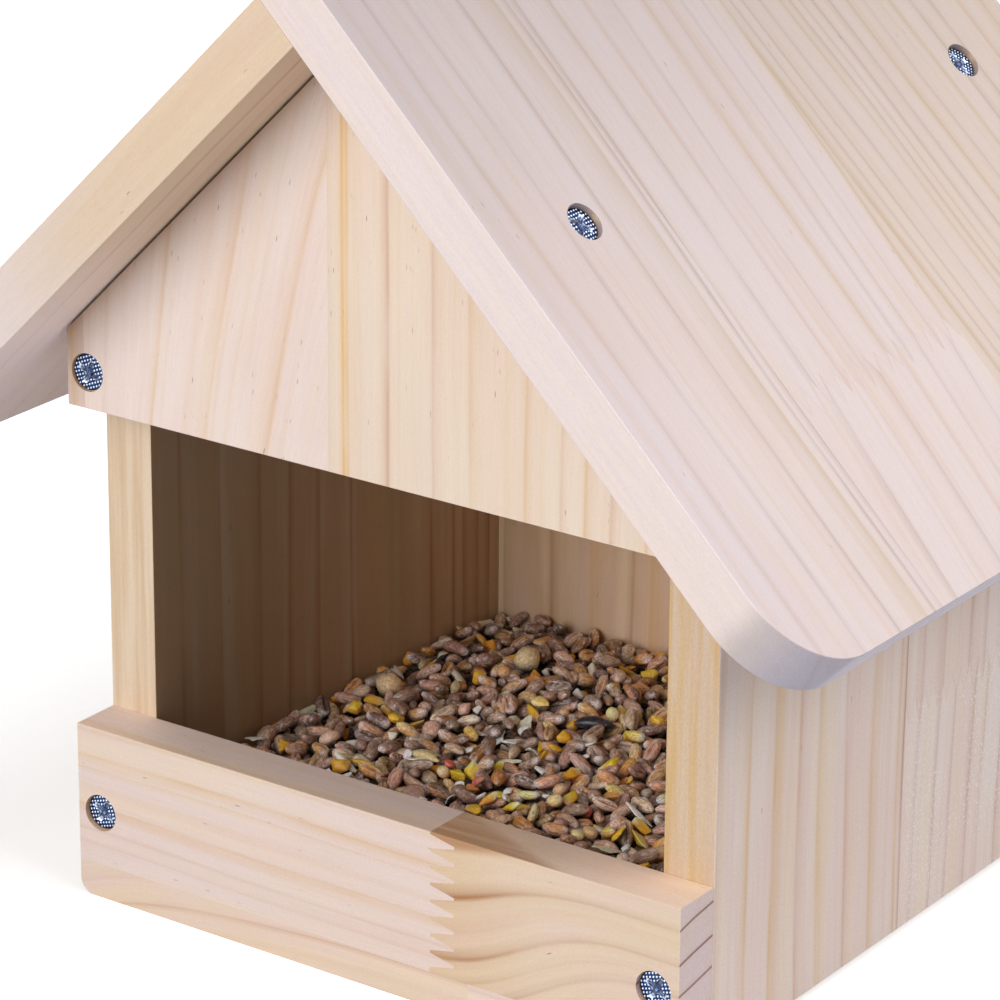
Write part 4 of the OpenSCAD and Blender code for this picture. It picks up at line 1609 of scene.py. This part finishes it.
def skin_finish(name, skin):
    """A seed's skin: its tone with painted light, crumpled and streaked along its length, with a
    pale bloom of dust and painted sheen.
    """
    settings = bpy.context.scene.feeder_seed
    f = Finish(name, Specular_IOR_Level=0.6)
    at = f.attribute("skin", "Vector")
    long = f.along(at, X)
    wide = f.along(at, Y)
    tall = f.along(at, Z)
    crumple = f.noise(f.vector(long * 1.2, wide * 1.9, tall * 1.9), detail=4.0, roughness=0.65)
    streak = f.noise(f.vector(long * skin.stretch, wide * skin.fine, tall * skin.fine))
    patch = f.noise(at, scale=0.5, detail=1.0)
    # Pale bloom: dust, and a painted sheen
    dust_and_sheen = f.rise(patch, 0.42, 0.72) * f.rise(crumple, 0.4, 0.64) * skin.bloom
    colour = f.mix(dust_and_sheen, f.attribute("tone"), linear(settings.bloom))
    uneven = 1.0 + (f.rise(crumple, 0.3, 0.7) - 0.5) * (0.4 * skin.contrast)
    colour = f.shade(colour, uneven)
    streaky = 1.0 + (f.rise(streak, 0.36, 0.64) - 0.5) * (0.3 * skin.contrast)
    colour = f.shade(colour, streaky)
    return f.set(Base_Color=colour, Roughness=skin.roughness + (crumple - 0.5) * 0.3,
                 Normal=f.bump(crumple + streak * 0.5, skin.wrinkle, 0.9))


# The bed has a point every few cells, and lies a little over the foot of the loose seed

BED_CELLS = 5
BED_RISE = 0.4
BED_BUMPS = 0.7


def bed_finish():
    """The settled seed far down between the grains, made dark as painted shade, with crumbs."""
    settings = bpy.context.scene.feeder_seed
    f = Finish("painted_shade_seed_bed", Specular_IOR_Level=0.2)
    at = f.object_place()
    crumbs = f.noise(at, scale=420.0, detail=4.0, roughness=0.7)
    # Painted shade: the seed's own colours much darkened, as it lies in shade far down
    dark = linear(tuple(c * 0.26 for c in settings.mauve))
    pale = linear(tuple(c * 0.45 for c in settings.tan))
    colour = f.mix(f.rise(crumbs, 0.35, 0.7), dark, pale)
    return f.set(Base_Color=colour, Roughness=0.8 + (crumbs - 0.5) * 0.2,
                 Normal=f.bump(crumbs, 0.8))


def bed_mesh(bay, depth):
    """The settled seed under the loose grains, closed down to the floor board."""
    heights = bay.top[::BED_CELLS, ::BED_CELLS] - depth + BED_RISE
    rows, columns = heights.shape
    x = np.linspace(bay.low[0], bay.high[0], rows)
    y = np.linspace(bay.low[1], bay.high[1], columns)
    heights = heights + bay.rng.uniform(-BED_BUMPS, BED_BUMPS, heights.shape)
    build = bmesh.new()
    grid = [[build.verts.new((x[i] * MM, y[j] * MM, heights[i, j] * MM)) for j in range(columns)]
            for i in range(rows)]
    for i in range(rows - 1):
        for j in range(columns - 1):
            build.faces.new((grid[i][j], grid[i + 1][j], grid[i + 1][j + 1], grid[i][j + 1]))
    rim = ([grid[i][0] for i in range(rows)] + [grid[-1][j] for j in range(1, columns)]
           + [grid[i][-1] for i in range(rows - 2, -1, -1)]
           + [grid[0][j] for j in range(columns - 2, 0, -1)])
    foot = [build.verts.new((v.co.x, v.co.y, SEED_FOOT * MM)) for v in rim]
    for i, j in enumerate((*range(1, len(rim)), 0)):
        build.faces.new((rim[i], foot[i], foot[j], rim[j]))
    build.faces.new(list(reversed(foot)))
    bmesh.ops.recalc_face_normals(build, faces=build.faces)
    smooth_but(build, math.radians(60))
    return mesh_of("settled_seed", build)


# Stage

CAMERA_PLACE = (0.52106, -0.76926, 0.43769)
CAMERA_YAW = 35.125
CAMERA_PITCH = -20.825
CAMERA_ROLL = 0.4626
CAMERA_LENS = 168.15
CAMERA_SENSOR = 36
CAMERA_NEAR = 0.05

# A lamp is the setting of its strength, its colour, the way towards it and its softness

LAMPS = {
    "front_lamp": ("key", (1.0, 0.985, 0.97), (-0.06, -1.0, 0.25), 50),
    "high_lamp": ("high", (1.0, 0.985, 0.97), (0.0, -1.0, 1.0), 40),
    "side_lamp": ("side", (1.0, 0.985, 0.985), (1.0, 0.05, 0.75), 36),
    "overhead_lamp": ("top", (0.98, 0.985, 1.0), (0.30, 0.04, 1.0), 40),
}
ROOM_TINT = (0.95, 0.97, 1.0)
WHITE = (1.0, 1.0, 1.0)

# The floor as it sends light back to the feeder, and as it is seen, with a glow of its own

FLOOR_TINT = (0.60, 0.63, 0.70)
FLOOR_SEEN = (0.97, 0.97, 0.97)
FLOOR_GLOW = 0.47
FLOOR_HALF = 3.0


def add_camera():
    """The camera, where the photograph was taken from."""
    yaw, pitch, roll = (math.radians(a) for a in (CAMERA_YAW, CAMERA_PITCH, CAMERA_ROLL))
    level = math.cos(pitch)
    ahead = Vector((-math.sin(yaw) * level, math.cos(yaw) * level, math.sin(pitch)))
    right = Vector((math.cos(yaw), math.sin(yaw), 0))
    up = right.cross(ahead)
    right, up = (right * math.cos(roll) + up * math.sin(roll),
                 up * math.cos(roll) - right * math.sin(roll))
    turn = Matrix((right, up, -ahead)).transposed().to_4x4()
    data = bpy.data.cameras.new("photograph_view")
    data.lens = CAMERA_LENS
    data.sensor_width = CAMERA_SENSOR
    data.clip_start = CAMERA_NEAR
    camera = bpy.data.objects.new("photograph_view", data)
    camera.matrix_world = Matrix.Translation(CAMERA_PLACE) @ turn
    bpy.context.scene.collection.objects.link(camera)
    bpy.context.scene.camera = camera


def add_sun(name, level, colour, toward, softness):
    """A soft sun; level is the light that it gives a white card that faces it."""
    data = bpy.data.lights.new(name, "SUN")
    data.energy = level * math.pi
    data.color = colour
    data.angle = math.radians(softness)
    lamp = bpy.data.objects.new(name, data)
    lamp.rotation_euler = Vector(toward).to_track_quat("Z", "Y").to_euler()
    bpy.context.scene.collection.objects.link(lamp)


def set_room(level):
    """White where it is seen, and a cool even light elsewhere."""
    world = bpy.data.worlds.new("studio")
    world.use_nodes = True
    bpy.context.scene.world = world
    room = Nodes(world.node_tree)
    room.tree.nodes.remove(room.tree.nodes["Background"])
    light = room.node("ShaderNodeBackground", inputs={"Color": ROOM_TINT, "Strength": level})
    white = room.node("ShaderNodeBackground", inputs={"Color": WHITE, "Strength": 1.0})
    room.mix_surface("World Output", room.seen_directly(), light, white)


def add_floor():
    """A pale floor that shows white and keeps the feeder's shadow."""
    build = bmesh.new()
    bmesh.ops.create_grid(build, x_segments=8, y_segments=8, size=FLOOR_HALF)
    floor = bpy.data.objects.new("studio_floor", mesh_of("studio_floor", build))
    bpy.context.scene.collection.objects.link(floor)
    material = bpy.data.materials.new("pale_floor")
    material.use_nodes = True
    paint = Nodes(material.node_tree)
    paint.tree.nodes.remove(paint.tree.nodes["Principled BSDF"])
    dim = paint.node("ShaderNodeBsdfDiffuse", inputs={"Color": FLOOR_TINT})
    pale = paint.node("ShaderNodeBsdfDiffuse", inputs={"Color": FLOOR_SEEN})
    glow = paint.node("ShaderNodeEmission", inputs={"Strength": FLOOR_GLOW})
    bright = paint.node("ShaderNodeAddShader", inputs={0: pale, 1: glow})
    paint.mix_surface("Material Output", paint.seen_directly(), dim, bright)
    floor.data.materials.append(material)


# Operators


class FEEDER_OT_walls(bpy.types.Operator):
    """Build the side walls, the back wall and the floor board"""

    bl_idname = "feeder.walls"
    bl_label = "Walls and floor"

    def execute(self, context):
        boards = {"left_side_wall": WALL_LEFT, "right_side_wall": WALL_RIGHT,
                  "back_wall": WALL_BACK, "floor_board": FLOOR}
        for node, plank in boards.items():
            sanded_board(node, plank)
        return {"FINISHED"}


class FEEDER_OT_gable(bpy.types.Operator):
    """Build the front gable"""

    bl_idname = "feeder.gable"
    bl_label = "Front gable"

    def execute(self, context):
        sanded_board("front_gable", GABLE)
        return {"FINISHED"}


class FEEDER_OT_lip(bpy.types.Operator):
    """Build the finger-jointed lip and the strip under it"""

    bl_idname = "feeder.lip"
    bl_label = "Lip"

    def execute(self, context):
        staves = {
            "lip_left_stave": (LIP_LEFT, "pine_pale_stave"),
            "lip_right_stave": (LIP_RIGHT, "pine_tan_stave"),
            "lip_lower_left_strip": (STRIP_LEFT, "pine_tan_stave"),
            "lip_lower_right_strip": (STRIP_RIGHT, "pine_pale_stave"),
        }
        for node, (plank, slot) in staves.items():
            sanded_board(node, plank, staves)
        return {"FINISHED"}


class FEEDER_OT_roof(bpy.types.Operator):
    """Build the two roof panels"""

    bl_idname = "feeder.roof"
    bl_label = "Roof"

    def execute(self, context):
        sanded_board("roof_left_panel", ROOF_LEFT)
        sanded_board("roof_right_panel", ROOF_RIGHT)
        return {"FINISHED"}


class FEEDER_OT_screws(bpy.types.Operator):
    """Drive all the screws"""

    bl_idname = "feeder.screws"
    bl_label = "Screws"

    def execute(self, context):
        rng = np.random.default_rng(12)
        finish = zinc_finish()
        for node in SCREW_NODES:
            screw_group(node, finish, rng)
        return {"FINISHED"}


class FEEDER_OT_seed(bpy.types.Operator):
    """Fill the bay with mixed seed"""

    bl_idname = "feeder.seed"
    bl_label = "Mixed seed"

    def execute(self, context):
        settings = context.scene.feeder_seed
        rng = np.random.default_rng(7)
        kinds = seed_kinds(rng)
        bay = lay_seeds(kinds, settings, rng)
        as_piece("settled_seed", bed_mesh(bay, settings.depth / MM), bed_finish(),
                 ["seed_fill"])
        finishes = {name: skin_finish(name, skin) for name, skin in SKINS.items()}
        showing = [bay.laid[number] for number in bay.showing()]
        for name, kind in kinds.items():
            laid = [seed for seed in showing if seed.name == name]
            for first in range(0, len(laid), MOST_IN_A_PIECE):
                label = name if first == 0 else "more_" + name
                seeds = laid[first:first + MOST_IN_A_PIECE]
                seed_group(label, kind, seeds, finishes[kind.skin], bay, rng)
        return {"FINISHED"}


class FEEDER_OT_stage(bpy.types.Operator):
    """Set up the floor, the lamps, the room and the camera"""

    bl_idname = "feeder.stage"
    bl_label = "Stage"

    def execute(self, context):
        settings = context.scene.feeder_stage
        context.scene.view_settings.view_transform = "Standard"
        add_floor()
        set_room(settings.room)
        for name, (strength, colour, toward, softness) in LAMPS.items():
            add_sun(name, getattr(settings, strength), colour, toward, softness)
        add_camera()
        return {"FINISHED"}


STEPS = (FEEDER_OT_walls, FEEDER_OT_gable, FEEDER_OT_lip, FEEDER_OT_roof, FEEDER_OT_screws,
         FEEDER_OT_seed, FEEDER_OT_stage)
SETTINGS = {
    "feeder_pine": FEEDER_PG_pine,
    "feeder_screws": FEEDER_PG_screws,
    "feeder_seed": FEEDER_PG_seed,
    "feeder_stage": FEEDER_PG_stage,
}


class FEEDER_PT_panel(bpy.types.Panel):
    """The feeder's steps and settings"""

    bl_idname = "FEEDER_PT_panel"
    bl_label = "Pine bird feeder"
    bl_space_type = "VIEW_3D"
    bl_region_type = "UI"
    bl_category = "Feeder"

    def draw(self, context):
        """Shows a button for each step and a box for each group of settings."""
        for step in STEPS:
            self.layout.operator(step.bl_idname)
        for name in SETTINGS:
            group = getattr(context.scene, name)
            box = self.layout.box()
            for setting in group.__annotations__:
                box.prop(group, setting)


def register():
    """Adds the settings, the steps and the panel."""
    for group in SETTINGS.values():
        bpy.utils.register_class(group)
    for step in STEPS:
        bpy.utils.register_class(step)
    bpy.utils.register_class(FEEDER_PT_panel)
    for name, group in SETTINGS.items():
        setattr(bpy.types.Scene, name, bpy.props.PointerProperty(type=group))


def unregister():
    """Takes away all that register added."""
    for name in SETTINGS:
        delattr(bpy.types.Scene, name)
    bpy.utils.unregister_class(FEEDER_PT_panel)
    for step in reversed(STEPS):
        bpy.utils.unregister_class(step)
    for group in reversed(list(SETTINGS.values())):
        bpy.utils.unregister_class(group)


def main():
    """Builds the whole feeder and its stage."""
    register()
    bpy.ops.feeder.walls()
    bpy.ops.feeder.gable()
    bpy.ops.feeder.lip()
    bpy.ops.feeder.roof()
    bpy.ops.feeder.screws()
    bpy.ops.feeder.seed()
    bpy.ops.feeder.stage()


if __name__ == "__main__":
    main()
